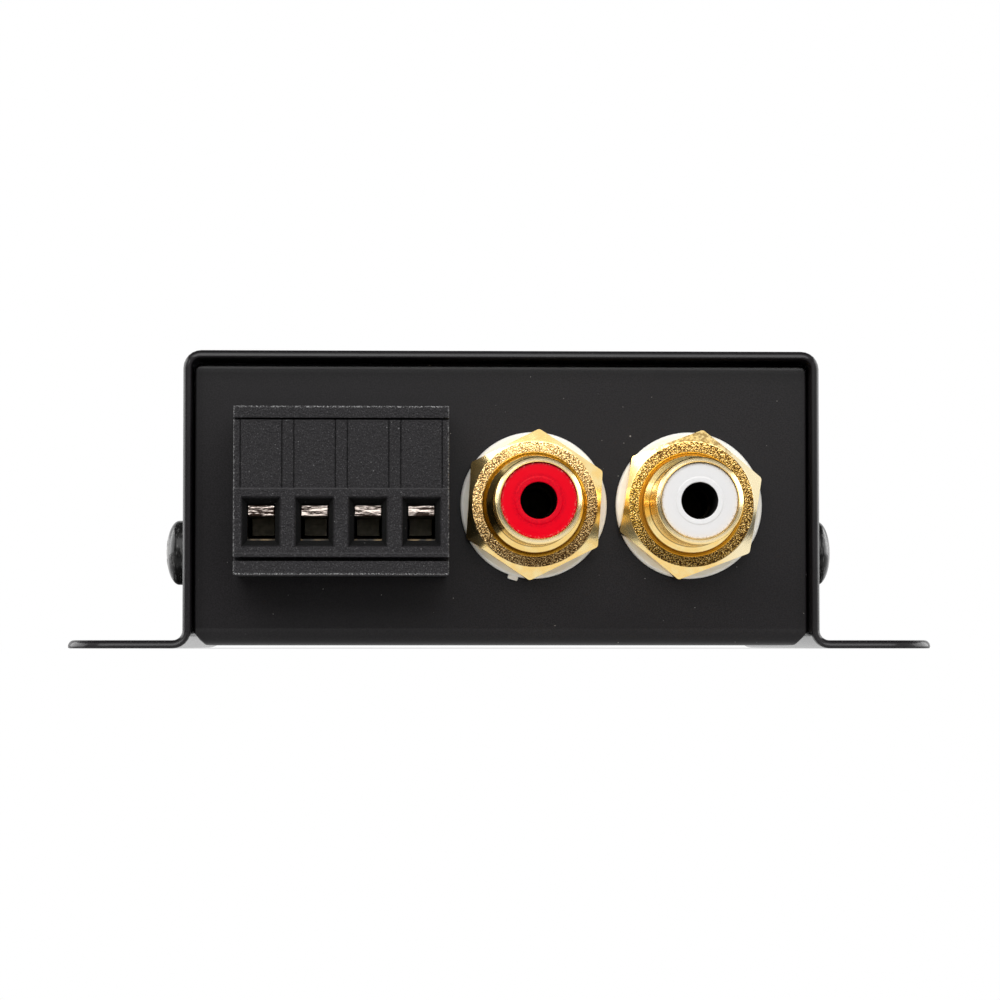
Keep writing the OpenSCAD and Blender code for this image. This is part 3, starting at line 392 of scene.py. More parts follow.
def case_paint():
    paint = Finish("case_paint", (0.0095, 0.009, 0.0094), 0.45,
                   {"Specular IOR Level": 0.1, "Coat Roughness": 0.15})
    x, y, z = paint.axes()
    out = abs(x)
    cloud = paint.noise(9.0, 3.0)
    dust = paint.specks(1.1, 0.05).most(paint.specks(2.6, 0.04))
    tone = paint.blend(cloud.rising(0.3, 0.7), (0.0090, 0.0080, 0.0089), (0.0119, 0.0106, 0.0117))
    tone = paint.blend(paint.noise(0.13, 2.0, 0.7).rising(0.35, 0.65), (0.0051, 0.0044, 0.0051), tone)
    under_top = z.within(COVER_TOP - 1.05, COVER_TOP - 0.7, 0.03) * out.rising(WALL - 0.5, WALL - 0.6)
    inner_wall = out.within(WALL - 0.98, WALL - 0.68, 0.03) * z.rising(COVER_TOP - 0.7, COVER_TOP - 0.8)
    low_bend = z.rising(1.7, 1.3) * out.within(WALL - 1.2, WALL + 1.5, 0.1) * abs(y).rising(34.2, 33.8)
    paint.give("Coat Weight", (0.3 - under_top.most(inner_wall) * 0.3).most(low_bend))
    return paint.made(paint.blend(dust, tone, DUST), 0.43 + cloud * 0.04 + dust * 0.3,
                      (paint.noise(0.3, 3.0, 0.6), 0.012), (paint.noise(0.08, 1.0), 0.003))


CASE_PAINT = case_paint()

# %% [markdown]
# ## Outlines
# Sheet metal and mouldings start as an outline. A vertex bevel rounds its corners while it is still a wire,
# which gives true arcs. The outline is then filled and drawn out. All of this is done in millimetres, and
# a piece is scaled to metres at the end.

# %% Outline, bar and rod
ROUND_STEPS = 6


def wire(corners, place):
    """A closed line through corners (u, v, rounding radius), put in space by place(u, v)."""
    bm = bmesh.new()
    made = [bm.verts.new(place(u, v)) for u, v, _ in corners]
    for a, b in zip(made, made[1:] + made[:1]):
        bm.edges.new((a, b))
    for radius in sorted({r for _, _, r in corners if r}):
        bmesh.ops.bevel(bm, geom=[v for v, c in zip(made, corners) if c[2] == radius], offset=radius,
                        offset_type="OFFSET", affect="VERTICES", segments=ROUND_STEPS, profile=0.5,
                        material=-1)
    return bm


def mirrored(corners):
    """The other half of an outline, in the order that closes it."""
    return [(-u, v, r) for u, v, r in reversed(corners)]


def points(geom):
    """Only the vertices of what an operator made."""
    return [g for g in geom if isinstance(g, bmesh.types.BMVert)]


def bar(corners, place, run):
    """A closed outline, filled and drawn out along run."""
    bm = wire(corners, place)
    bmesh.ops.contextual_create(bm, geom=bm.edges[:])
    grown = bmesh.ops.extrude_face_region(bm, geom=bm.faces[:])["geom"]
    bmesh.ops.translate(bm, vec=run, verts=points(grown))
    bmesh.ops.recalc_face_normals(bm, faces=bm.faces[:])
    return bm


def rod(radius, low, high, steps=48):
    """A closed cylinder along Z."""
    bm = bmesh.new()
    bmesh.ops.create_cone(bm, cap_ends=True, segments=steps, radius1=radius, radius2=radius,
                          depth=high - low)
    return moved(bm, at(z=(low + high) / 2))


def at(x=0.0, y=0.0, z=0.0):
    return Matrix.Translation((x, y, z))


def turn(axis, angle):
    return Matrix.Rotation(angle, 4, axis)


def moved(bm, matrix):
    """The same bmesh after a move or a turn."""
    bmesh.ops.transform(bm, matrix=matrix, verts=bm.verts[:])
    return bm


print("outline helpers ready")

# %% [markdown]
# ## Punching, rounding and ending a piece
# Holes are punched with a second closed shape, as a press would do it. A Boolean modifier makes the cut,
# and its result goes back into a bmesh. Edges are rounded last, because no edge of a real piece is quite
# sharp.

# %% Punch, soften and end a piece
PAST = 1.0
NEAR = 0.01
SHARP_ABOVE, SMOOTH_BELOW = math.radians(40), math.radians(38)


def gathered(shapes):
    """Several closed shapes in one bmesh."""
    whole = bmesh.new()
    for shape in shapes:
        mesh = as_mesh("gathered", shape)
        whole.from_mesh(mesh)
        bpy.data.meshes.remove(mesh)
    return whole


def punched(bm, tool, operation="DIFFERENCE"):
    """One closed shape cut by, joined to or kept inside another."""
    pair = [linked("punched", as_mesh("punched", shape)) for shape in (bm, tool)]
    cut = pair[0].modifiers.new("cut", "BOOLEAN")
    cut.operation = operation
    cut.solver = "EXACT"
    cut.object = pair[1]
    bpy.context.view_layer.update()
    out = bmesh.new()
    out.from_object(pair[0], bpy.context.evaluated_depsgraph_get())
    for thing in pair:
        mesh = thing.data
        bpy.data.objects.remove(thing)
        bpy.data.meshes.remove(mesh)
    bmesh.ops.remove_doubles(out, verts=out.verts[:], dist=1e-5)
    return out


def softened(bm, width, steps=2, chosen=None):
    """Sharp edges rounded off, or only those that chosen(edge) picks."""
    sharp = [e for e in bm.edges if len(e.link_faces) == 2 and e.calc_face_angle() > SHARP_ABOVE]
    edges = [e for e in sharp if chosen is None or chosen(e)]
    bmesh.ops.bevel(bm, geom=edges, offset=width, offset_type="OFFSET", affect="EDGES", segments=steps,
                    profile=0.5, material=-1, clamp_overlap=False)
    return bm


def piece(name, bm, finish, node):
    """Ends a piece: metres, smooth shading, finish, and the solid that it stands for."""
    bmesh.ops.scale(bm, vec=(MM, MM, MM), verts=bm.verts[:])
    bmesh.ops.remove_doubles(bm, verts=bm.verts[:], dist=1e-8)
    bmesh.ops.recalc_face_normals(bm, faces=bm.faces[:])
    open_edges = sum(1 for e in bm.edges if len(e.link_faces) != 2)
    mesh = as_mesh(name, bm)
    mesh.shade_smooth()
    mesh.set_sharp_from_angle(angle=SMOOTH_BELOW)
    mesh.materials.append(finish)
    made = linked(name, mesh)
    made.modifiers.new("even_normals", "WEIGHTED_NORMAL").keep_sharp = True
    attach(made, nodes[node]["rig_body"])
    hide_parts(node)
    print(name, len(mesh.polygons), "faces, open edges:", open_edges)


print("punch, soften and piece helpers ready")

# %% [markdown]
# ## Cover
# The cover is one sheet with five flats: two flanges, two walls and a top. Its end-on section is an
# outline with rounded corners, pulled out along the depth. The flange corners are bevelled edges, and the
# holes are punched. Paint has rounded the outer rim broadly and the other cut edges a little.

# %% Cover
SHEET = 0.8
BEND_IN = 0.95
BEND_OUT = BEND_IN + SHEET
FLANGE_CORNER = 4.5
OUTER_EDGE, CUT_EDGE = 0.6, 0.15
SCREW_HOLE = 1.7
BOTH = (-1, 1)
QUARTERS = [(sx, sy) for sx in BOTH for sy in BOTH]

cover_low, cover_high = span("cover")
screw_low, screw_high = span("cover_screws")
SCREW_HEAD = (screw_high.z - screw_low.z) / 2
SCREW_Z = (screw_high.z + screw_low.z) / 2
SCREW_Y = screw_high.y - SCREW_HEAD
fixing = next(m for m in frame["record"]["mounts"] if m["name"] == "mounting_holes")["dims"]
FIXING_X, FIXING_Y = fixing["spacing_x_mm"] / 2, fixing["spacing_y_mm"] / 2


def across_case(radius, y, z):
    """A rod along X through both walls."""
    return moved(rod(radius, -WALL - PAST, WALL + PAST), at(0, y, z) @ turn("Y", math.pi / 2))


def flange_corner(edge):
    a, b = (v.co for v in edge.verts)
    return abs(a.z - b.z) > SHEET / 2 and min(abs(a.x), abs(b.x)) > cover_high.x - NEAR


def outer_rim(edge):
    """Edges of the sheet's outer side, along both ends and round the flange tips."""
    mid = (edge.verts[0].co + edge.verts[1].co) / 2
    x, z = abs(mid.x), mid.z
    if abs(mid.y) < cover_high.y - FLANGE_CORNER and x < cover_high.x - NEAR:
        return False
    if x > WALL + BEND_IN:
        return z > SHEET / 2
    if z > COVER_TOP - BEND_OUT:
        return math.hypot(max(x - WALL + BEND_OUT, 0), z - COVER_TOP + BEND_OUT) > BEND_OUT - SHEET / 2
    if z < SHEET + BEND_IN:
        return math.hypot(WALL + BEND_IN - x, SHEET + BEND_IN - z) < BEND_IN + SHEET / 2
    return x > WALL - SHEET / 2


inner = WALL - SHEET
half = [(inner, cover_high.z - SHEET, BEND_IN), (inner, 0, BEND_OUT), (cover_high.x, 0, 0),
        (cover_high.x, SHEET, 0), (WALL, SHEET, BEND_IN), (WALL, cover_high.z, BEND_OUT)]
cover = bar(half + mirrored(half), lambda x, z: (x, cover_low.y, z), (0, cover_high.y - cover_low.y, 0))
cover = softened(cover, FLANGE_CORNER, steps=8, chosen=flange_corner)
punches = [moved(rod(fixing["hole_r_mm"], -PAST, 2 * PAST), at(sx * FIXING_X, sy * FIXING_Y))
           for sx, sy in QUARTERS]
punches += [across_case(SCREW_HOLE, sy * SCREW_Y, SCREW_Z) for sy in BOTH]
cover = softened(punched(cover, gathered(punches)), OUTER_EDGE, steps=6, chosen=outer_rim)
piece("cover_sheet", softened(cover, CUT_EDGE), CASE_PAINT, "cover")

# %% [markdown]
# ## Tray
# The tray is the other half of the case: a floor with two end panels whose tops roll over and turn in.
# It is one drawn-out outline. An intersection with a second outline trims the panels' top corners and the
# slanted cuts beside the lower bends, which let a sliver of background through in the photograph.

# %% Tray floor and panels
PANEL_HALF = 29.95
PANEL_CORNER = 0.95
ROLL, ROLL_TALL, ROLL_BEND, ROLL_EDGE = 0.09, 0.55, 0.38, 0.1
PANEL_RAISE = 0.12
TRIM = 0.05
SLANT_IN, SLANT_DOWN, SLANT_Z = 0.2, 0.8, 1.2
LIP = 4.0
FLOOR_X, FLOOR_Y, FLOOR_CUT = 28.4, 31.25, 4.0

tray_low, tray_high = span("base_tray")
PANEL = tray_high.y
low, top = tray_low.z, tray_high.z + PANEL_RAISE
outside = [(PANEL - LIP, top, 0), (PANEL - ROLL, top, ROLL_EDGE), (PANEL, top - ROLL_TALL, ROLL_BEND),
           (PANEL, low, BEND_OUT)]
inside = [(PANEL - SHEET, low + SHEET, BEND_IN), (PANEL - SHEET, top - SHEET, 0),
          (PANEL - LIP, top - SHEET, 0)]
section = outside + mirrored(outside) + mirrored(inside) + inside
tray = bar(section, lambda y, z: (-PANEL_HALF, y, z), (2 * PANEL_HALF, 0, 0))

edge = PANEL_HALF + TRIM
half = [(FLOOR_X - SLANT_IN, low - SLANT_DOWN, 0), (edge, low + SLANT_Z + TRIM, 0),
        (edge, top + TRIM, PANEL_CORNER)]
trim = bar(half + mirrored(half), lambda x, z: (x, -PANEL - PAST, z), (0, 2 * PANEL + 2 * PAST, 0))
tray = punched(tray, trim, "INTERSECT")
print("tray outline trimmed:", len(tray.faces), "faces")

# %% [markdown]
# ## Holes and side walls of the tray
# The panels are punched for the jacks, the terminal, the level control and the lamp. The low side walls,
# which the screws bite into, are bent strips joined to the floor. The holes of the screws and the standoffs
# come last.

# %% Tray holes and side walls
SIDE_Y, SIDE_TOP = 28.25, 14.0
LAP = 0.1
JACK_HOLE, LEVEL_HOLE, LAMP_HOLE = 5.4, 3.7, 1.6
NOSE_LOW, NOSE_HIGH = (-25.75, 8.15), (-5.35, 15.85)
STAND_FLATS, STEM = 5.0, 2.13
SCREW_BITE = 1.53
PANEL_EDGE = 0.2
JACK_XS = [round(middle(f"output_{side}_sleeve").x, 2) for side in ("right", "left")]
JACK_Z = round(middle("output_right_sleeve").z, 2)
LEVEL_X, _, LEVEL_Z = (round(c, 2) for c in middle("level_washer"))
LAMP_X, LAMP_Z = round(middle("power_lamp").x, 2), LEVEL_Z


def along_case(radius, x, z, start, end):
    """A rod along Y."""
    return moved(rod(radius, start, end), at(x, 0, z) @ turn("X", -math.pi / 2))


waste = [block((x0, -FLOOR_Y, low - PAST), (x1, FLOOR_Y, low + FLOOR_CUT))
         for x0, x1 in ((-PANEL, -FLOOR_X), (FLOOR_X, PANEL))]
waste += [along_case(JACK_HOLE, x, JACK_Z, -PANEL - PAST, PANEL + PAST) for x in JACK_XS]
waste += [along_case(radius, x, LEVEL_Z, PANEL - 2 * PAST, PANEL + PAST)
          for radius, x in ((LEVEL_HOLE, LEVEL_X), (LAMP_HOLE, LAMP_X))]
waste += [block((NOSE_LOW[0], -PANEL - PAST, NOSE_LOW[1]), (NOSE_HIGH[0], -PANEL + 2 * PAST, NOSE_HIGH[1]))]
tray = punched(tray, gathered(waste))

side = [(FLOOR_X - LAP, low, 0), (tray_high.x, low, BEND_OUT), (tray_high.x, SIDE_TOP, 0),
        (tray_high.x - SHEET, SIDE_TOP, 0), (tray_high.x - SHEET, low + SHEET, BEND_IN),
        (FLOOR_X - LAP, low + SHEET, 0)]
for sx in BOTH:
    tray = punched(tray, bar(side, lambda x, z: (sx * x, -SIDE_Y, z), (0, 2 * SIDE_Y, 0)), "UNION")
stand_low, stand_high = span("board_standoffs")
stem_y = (stand_high.y - stand_low.y) / 2 - STAND_FLATS / 2
stem_x = (stand_high.x - stand_low.x) / 2 - STAND_FLATS / math.sqrt(3)
holes = [across_case(SCREW_BITE, sy * SCREW_Y, SCREW_Z) for sy in BOTH]
holes += [moved(rod(STEM, low - PAST, low + 2 * PAST), at(sx * stem_x, sy * stem_y)) for sx, sy in QUARTERS]
piece("tray_sheet", softened(punched(tray, gathered(holes)), PANEL_EDGE), CASE_PAINT, "base_tray")

# %% [markdown]
# ## Case screws
# Four blackened screws hold the cover to the tray. Handling has rubbed the black off their crowns. The
# head is half of a flattened sphere on a short straight rim, and two crossed blocks cut the recess.

# %% Case screws
SHANK, SHANK_LONG = 1.5, 3.5
HEAD_HIGH, HEAD_RIM = screw_high.x - WALL, 0.8
RECESS_LONG, RECESS_WIDE, RECESS_DEEP = 1.5, 0.4, 1.2


def screw_black():
    black = Finish("black_screw", (0.012, 0.012, 0.012), 0.3, {"Specular IOR Level": 0.15})
    crown = abs(black.axes()[0]).rising(WALL + 1.55, WALL + 2.0)
    scuff = black.noise(0.35, 4.0, 0.65, black.stretched(2.4, 1, 0.35)).rising(0.54, 0.66)
    worn = (crown * (0.5 + scuff * 0.5)).most(scuff * 0.18)
    black.give("Metallic", worn)
    return black.made(black.blend(worn, (0.010, 0.010, 0.010), (0.52, 0.51, 0.50)),
                      0.14 + black.noise(0.3) * 0.08 + worn * 0.12,
                      (scuff, 0.004), (black.noise(0.4, 2.0), 0.003))


def pan_screw():
    """A cross-recessed screw with its seat at zero and its domed head up."""
    dome = bmesh.new()
    bmesh.ops.create_uvsphere(dome, u_segments=64, v_segments=40, radius=1.0)
    bmesh.ops.scale(dome, vec=(SCREW_HEAD, SCREW_HEAD, HEAD_HIGH - HEAD_RIM), verts=dome.verts[:])
    bmesh.ops.bisect_plane(dome, geom=dome.verts[:] + dome.edges[:] + dome.faces[:], plane_co=(0, 0, 0),
                           plane_no=(0, 0, -1), clear_outer=True)
    moved(dome, at(z=HEAD_RIM))
    skirt = bmesh.ops.extrude_edge_only(dome, edges=[e for e in dome.edges if e.is_boundary])["geom"]
    bmesh.ops.translate(dome, vec=(0, 0, -HEAD_RIM), verts=points(skirt))
    bmesh.ops.holes_fill(dome, edges=[e for e in dome.edges if e.is_boundary])
    bmesh.ops.recalc_face_normals(dome, faces=dome.faces[:])
    body = punched(dome, rod(SHANK, -SHANK_LONG, HEAD_RIM / 2), "UNION")
    first, second = [block((-a, -b, HEAD_HIGH - RECESS_DEEP), (a, b, HEAD_HIGH + PAST))
                     for a, b in ((RECESS_LONG, RECESS_WIDE), (RECESS_WIDE, RECESS_LONG))]
    return punched(body, moved(punched(first, second, "UNION"), turn("Z", math.pi / 4)))


SCREW_BLACK = screw_black()
screws = [moved(pan_screw(), at(sx * WALL, sy * SCREW_Y, SCREW_Z) @ turn("Y", sx * math.pi / 2))
          for sx, sy in QUARTERS]
piece("case_screws", gathered(screws), SCREW_BLACK, "cover_screws")

# %% [markdown]
# ## Terminal nylon
# The plug is moulded nylon. Its mould was spark-eroded, which leaves a grain of about 0.2 mm, and the strips
# along its edges are bruised pale. Thin pale lines at the step and low on the front are painted highlights,
# and the wire holes are painted almost black as shade. The grain could be a displaced mesh, but at this size
# bump shows the same thing, so the mesh keeps to the form.

# %% Terminal nylon
PIN_Z = 12.0
STEP_Z, LOW_LINE_Z = 15.23, 9.0
plug_low, plug_high = span("plug_housing")
front_low, front_high = span("plug_front")
PLUG_X, _, PLUG_Z = (plug_low + plug_high) / 2
PLUG_HALF, _, PLUG_TALL = (plug_high - plug_low) / 2


def terminal_nylon():
    nylon = Finish("terminal_nylon", (0.010, 0.0095, 0.0105), 0.55, {"Specular IOR Level": 0.24})
    x, y, z = nylon.axes()
    grain = nylon.noise(0.1, 2.0, 0.7)
    salt = nylon.noise(0.11, 1.0, 0.5).rising(0.58, 0.72)
    front = y.rising(plug_low.y + 0.7, plug_low.y + 0.25)
    ends = abs(x - PLUG_X).rising(PLUG_HALF - 0.2, PLUG_HALF - 0.06)
    rims = abs(z - PLUG_Z).rising(PLUG_TALL - 0.2, PLUG_TALL - 0.06)
    fleck = nylon.noise(0.16, 3.0, 0.75).rising(0.48, 0.62)
    bruise = (ends * 0.45).most(rims) * front * fleck
    # Painted shade: the insides of the wire holes are made almost black and rougher.
    holes = z.within(PIN_Z - 2.44, PIN_Z + 2.44, 0.03) * y.rising(front_low.y + 0.1, front_low.y + 0.4)
    # Painted highlights: thin pale lines along the step and low on the front.
    painted_edge_lines = z.within(STEP_Z - 0.11, STEP_Z + 0.01, 0.03).most(z.within(LOW_LINE_Z, LOW_LINE_Z + 0.08, 0.03))
    lint = nylon.specks(0.55, 0.13) * nylon.noise(3.0, 1.0).rising(0.45, 0.6)
    tone = nylon.blend(grain.rising(0.3, 0.72), (0.0012, 0.0010, 0.0014), (0.0215, 0.0195, 0.0222))
    tone = nylon.blend((salt * 0.9).most(painted_edge_lines * (1 - holes) * 0.45 * front), tone, (0.065, 0.063, 0.066))
    tone = nylon.blend(holes, tone, (0.0006, 0.0006, 0.0006))
    worn = nylon.blend(bruise, tone, (0.42, 0.42, 0.42))
    return nylon.made(nylon.blend(lint * 0.6, worn, (0.3, 0.3, 0.3)), 0.45 + grain * 0.25 + holes * 0.4,
                      (grain, 0.06), (nylon.cells(0.2), 0.05))


NYLON = terminal_nylon()

# %% [markdown]
# ## Plug housing
# The housing has a strip above and below its front, so it is a C-shaped section drawn out along the width,
# with a nose behind that enters the case. Each pole has a hollow for its wire clamp, a socket for the
# header's pin and a bore for its screw, which is a spun outline.

# %% Plug housing
HOUSING_BACK = -33.4
FRONT_BACK = front_high.y
POLE_PITCH = 5.08
POLES = [PLUG_X + (i - 1.5) * POLE_PITCH for i in range(4)]
NOSE_IN, NOSE_Z = 0.2, (8.3, 15.7)
CHAMBER_HALF, CHAMBER_BACK, CHAMBER_Z, CHAMBER_LEAD = 2.1, -34.8, (9.52, 18.25), 0.4
CLAMP_Y = -37.6
CLAMP_BORE, HEAD_BORE, HEAD_SEAT, BORE_MOUTH = 1.55, 2.0, 20.2, (0.4, 0.2)
SOCKET_HALF, SOCKET_Z, SOCKET_END = 1.35, (10.8, 13.7), -25.4
PIN_HALF = 0.9
NYLON_EDGE = 0.09
STRIP_LOW, STRIP_HIGH = 8.3, 21.9
INTO = 0.5


def turned(corners, steps=96):
    """A closed outline of (radius, height, rounding) spun about Z."""
    bm = wire(corners, lambda r, h: (r, 0, h))
    bmesh.ops.spin(bm, geom=bm.verts[:] + bm.edges[:], cent=(0, 0, 0), axis=(0, 0, 1),
                   angle=2 * math.pi, steps=steps, use_merge=True)
    bmesh.ops.remove_doubles(bm, verts=bm.verts[:], dist=1e-5)
    bmesh.ops.recalc_face_normals(bm, faces=bm.faces[:])
    return bm


def about(centre, half):
    return centre - half, centre + half


def slab(x, y, z):
    """A box given by its range along each axis."""
    return block(*zip(x, y, z))


section = [(plug_low.y, plug_low.z, 0), (HOUSING_BACK, plug_low.z, 0), (HOUSING_BACK, plug_high.z, 0),
           (plug_low.y, plug_high.z, 0), (plug_low.y, STRIP_HIGH, 0), (FRONT_BACK, STRIP_HIGH, 0),
           (FRONT_BACK, STRIP_LOW, 0), (plug_low.y, STRIP_LOW, 0)]
housing = bar(section, lambda y, z: (plug_low.x, y, z), (2 * PLUG_HALF, 0, 0))
nose = slab((plug_low.x + NOSE_IN, plug_high.x - NOSE_IN), (HOUSING_BACK - INTO, plug_high.y), NOSE_Z)
housing = softened(punched(housing, nose, "UNION"), NYLON_EDGE)

wide, tall = BORE_MOUTH
bore = [(0, CHAMBER_Z[1] - INTO, 0), (CLAMP_BORE, CHAMBER_Z[1] - INTO, 0), (CLAMP_BORE, HEAD_SEAT, 0),
        (HEAD_BORE, HEAD_SEAT, 0), (HEAD_BORE, plug_high.z - tall, 0),
        (HEAD_BORE + wide, plug_high.z + tall, 0), (0, plug_high.z + tall, 0)]
hollows = [(CHAMBER_HALF, (FRONT_BACK - CHAMBER_LEAD, CHAMBER_BACK), CHAMBER_Z),
           (SOCKET_HALF, (CHAMBER_BACK - INTO, SOCKET_END), SOCKET_Z),
           (PIN_HALF, (SOCKET_END - INTO, plug_high.y + PAST), about(PIN_Z, PIN_HALF))]
for half, y, z in hollows:
    housing = punched(housing, gathered([slab(about(x, half), y, z) for x in POLES]))
housing = punched(housing, gathered([moved(turned(bore, steps=48), at(x, CLAMP_Y)) for x in POLES]))
piece("plug_body", housing, NYLON, "plug_housing")

# %% [markdown]
# ## Plug front
# The front is a plate with a shallow step across it, four wire holes that funnel inwards, and
# fine grooves that mark the ribs between the poles. A funnel is a box whose inner end is scaled down.

# %% Plug front
STEP_Y = -42.0
HOLE_HALF, FUNNEL_HALF = (1.9, 2.43), (1.325, 1.72)
FUNNEL_DEEP = 1.2
GROOVE_AT, GROOVE_HALF, GROOVE_DEEP = 1.97, 0.07, 0.3
FRONT_EDGE, FRONT_LIFT = 0.09, 0.08
HAIR, THROAT_LAP = 0.02, 0.05


def funnel(x):
    """A wire hole: wide at the face, then narrowing to a straight throat."""
    mouth, deep, back = front_low.y - HAIR, front_low.y + FUNNEL_DEEP, FRONT_BACK + INTO
    throat = slab(about(x, FUNNEL_HALF[0]), (deep - THROAT_LAP, back), about(PIN_Z, FUNNEL_HALF[1]))
    cone = slab(about(x, HOLE_HALF[0]), (mouth, deep), about(PIN_Z, HOLE_HALF[1]))
    inner_end = [v for v in cone.verts if v.co.y > deep - NEAR]
    bmesh.ops.scale(cone, vec=(FUNNEL_HALF[0] / HOLE_HALF[0], 1, FUNNEL_HALF[1] / HOLE_HALF[1]),
                    space=at(-x, 0, -PIN_Z), verts=inner_end)
    return punched(cone, throat, "UNION")


foot = front_low.z + FRONT_LIFT
section = [(FRONT_BACK, foot, 0), (front_low.y, foot, 0), (front_low.y, STEP_Z, 0), (STEP_Y, STEP_Z, 0),
           (STEP_Y, front_high.z, 0), (FRONT_BACK, front_high.z, 0)]
plate = bar(section, lambda y, z: (front_low.x, y, z), (front_high.x - front_low.x, 0, 0))
plate = punched(plate, gathered([funnel(x) for x in POLES]))
plate = softened(plate, FRONT_EDGE, chosen=lambda e: max(v.co.y for v in e.verts) < STEP_Y + NEAR)
grooves = [slab(about(x + s * GROOVE_AT, GROOVE_HALF), (front_low.y - PAST, STEP_Y + GROOVE_DEEP),
                (STEP_Z + HAIR, front_high.z + PAST)) for x in POLES for s in BOTH]
piece("plug_face", punched(plate, gathered(grooves)), NYLON, "plug_front")

# %% [markdown]
# ## Clamp metals
# The bars in the wire holes were sheared from tinned strip, so their bright ends carry slanting streaks, and
# the first one is duller. The streaks are noise stretched along a slanted line. Cages and screws are plated,
# which is one function with two tones.

# %% Clamp metals
BAR_TIP = span("plug_contacts")[0].y
DULL_POLE = (-20.5, -21.5)


def tinned_bar():
    tin = Finish("tinned_bar", (0.80, 0.73, 0.68), 0.34, {"Metallic": 1.0})
    x, y, _ = tin.axes()
    slant = tin.node("ShaderNodeMapping", None,
                     {"Vector": tin.mm, "Rotation": (0, math.radians(8), 0), "Scale": (0.5, 0.4, 5.0)})
    streak = tin.noise(0.7, 3.0, 0.75, slant) - x.rising(*DULL_POLE) * 0.05
    deep = y.rising(BAR_TIP + 0.15, BAR_TIP + 0.9)
    bright = tin.blend(streak.rising(0.47, 0.58), (0.02, 0.012, 0.009), (0.82, 0.71, 0.64))
    darker = tin.blend(tin.noise(0.5, 3.0), (0.12, 0.115, 0.09), (0.36, 0.34, 0.27))
    return tin.made(tin.blend(deep, bright, darker), 0.3 + streak * 0.2 + deep * 0.2, (streak, 0.06))


def plated(name, first, second, roughness):
    """Plated metal with cloudy tone and fine scratches."""
    metal = Finish(name, first, roughness, {"Metallic": 1.0})
    tone = metal.blend(metal.noise(1.1, 3.0).rising(0.4, 0.68), first, second)
    scratch = metal.noise(0.5, 2.0, 0.5, metal.stretched(1, 1, 9))
    return metal.made(tone, roughness + scratch * 0.18, (scratch, 0.008))


TIN_BAR = tinned_bar()
CAGE_PLATE = plated("cage_plate", (0.046, 0.045, 0.042), (0.26, 0.19, 0.11), 0.35)
ZINC = plated("zinc_plate", (0.66, 0.66, 0.67), (0.52, 0.52, 0.53), 0.26)

# %% [markdown]
# ## Wire clamps
# Behind each hole a tinned bar waits for the wire, a cage rises round it, and a slotted screw drives the
# cage. All are plain metal shapes with softened edges. The bars share one piece, because they stay in the
# plug, while each cage and each screw moves by itself.

# %% Bars, cages and clamp screws
BAR = ((-1.25, BAR_TIP, 12.6), (1.25, -33.8, 13.6))
BRIDGE = ((-1.1, -34.6, 10.9), (1.1, -33.8, 13.55))
LEAVES = [((x0, -33.9, 10.9), (x1, -25.7, 13.1)) for x0, x1 in ((-1.1, -0.7), (0.7, 1.1))]
CONTACT_EDGE = 0.08
CAGE_WALL, CAGE_FLOOR, CAGE_ROOF = 0.5, 0.7, 1.2
CAGE_BORE = 1.5
CAGE_BEND, WINDOW_BEND, CAGE_EDGE = 0.3, 0.15, 0.05
CLAMP_SHANK, CLAMP_HEAD, CLAMP_HEAD_HIGH = 1.45, 1.9, 2.0
SLOT_HALF, SLOT_DEEP = 0.35, 0.9


def contact():
    """The bar that the wire lies on, bent down into two leaves that hold the pin."""
    made = block(*BAR)
    for corners in (BRIDGE, *LEAVES):
        made = punched(made, block(*corners), "UNION")
    return softened(made, CONTACT_EDGE)


def runs_back(edge):
    """Edges that run from front to back."""
    return abs(edge.verts[0].co.y - edge.verts[1].co.y) > 1


def cage(node):
    low, high = span(node)
    roof = high.z - CAGE_ROOF
    window = block((low.x + CAGE_WALL, low.y - PAST, low.z + CAGE_FLOOR),
                   (high.x - CAGE_WALL, high.y + PAST, roof))
    hole = moved(rod(CAGE_BORE, roof - INTO, high.z + PAST), at((low.x + high.x) / 2, CLAMP_Y))
    made = softened(block(low, high), CAGE_BEND, steps=3, chosen=runs_back)
    made = punched(punched(made, softened(window, WINDOW_BEND, chosen=runs_back)), hole)
    return softened(made, CAGE_EDGE, steps=1)


def clamp_screw(node):
    low, high = span(node)
    seat = high.z - CLAMP_HEAD_HIGH
    made = turned([(0, low.z, 0), (CLAMP_SHANK, low.z, 0.25), (CLAMP_SHANK, seat, 0),
                   (CLAMP_HEAD, seat, 0.06), (CLAMP_HEAD, high.z, 0.22), (0, high.z, 0)], steps=48)
    slot = slab(about(0, CLAMP_HEAD + PAST), about(0, SLOT_HALF), (high.z - SLOT_DEEP, high.z + PAST))
    return moved(punched(made, slot), at(middle(node).x, CLAMP_Y))


piece("clamp_bars", gathered([moved(contact(), at(x)) for x in POLES]), TIN_BAR, "plug_contacts")
for i in range(1, 5):
    piece(f"wire_cage_{i}", cage(f"clamp_cage_{i}"), CAGE_PLATE, f"clamp_cage_{i}")
    piece(f"wire_screw_{i}", clamp_screw(f"clamp_screw_{i}"), ZINC, f"clamp_screw_{i}")

# %% [markdown]
# ## Gold on the jacks
# Each jack is turned brass under thin gold. The finishes measure the distance from the jack's axis, so the
# tool marks run round it. The nuts' faces are stamped with a dark grain, and their lower side is painted
# browner as shade. Painted light differs between the jacks: on the white ones the nut's countersink and
# the thread behind the sleeve's shoulder are orange, a painted glow of bounced light, and the nuts have a
# painted highlight on the outer side and painted shade on the top and the inner side. On every sleeve the
# rim is a painted highlight and a dark line at the shoulder's foot is painted shade.

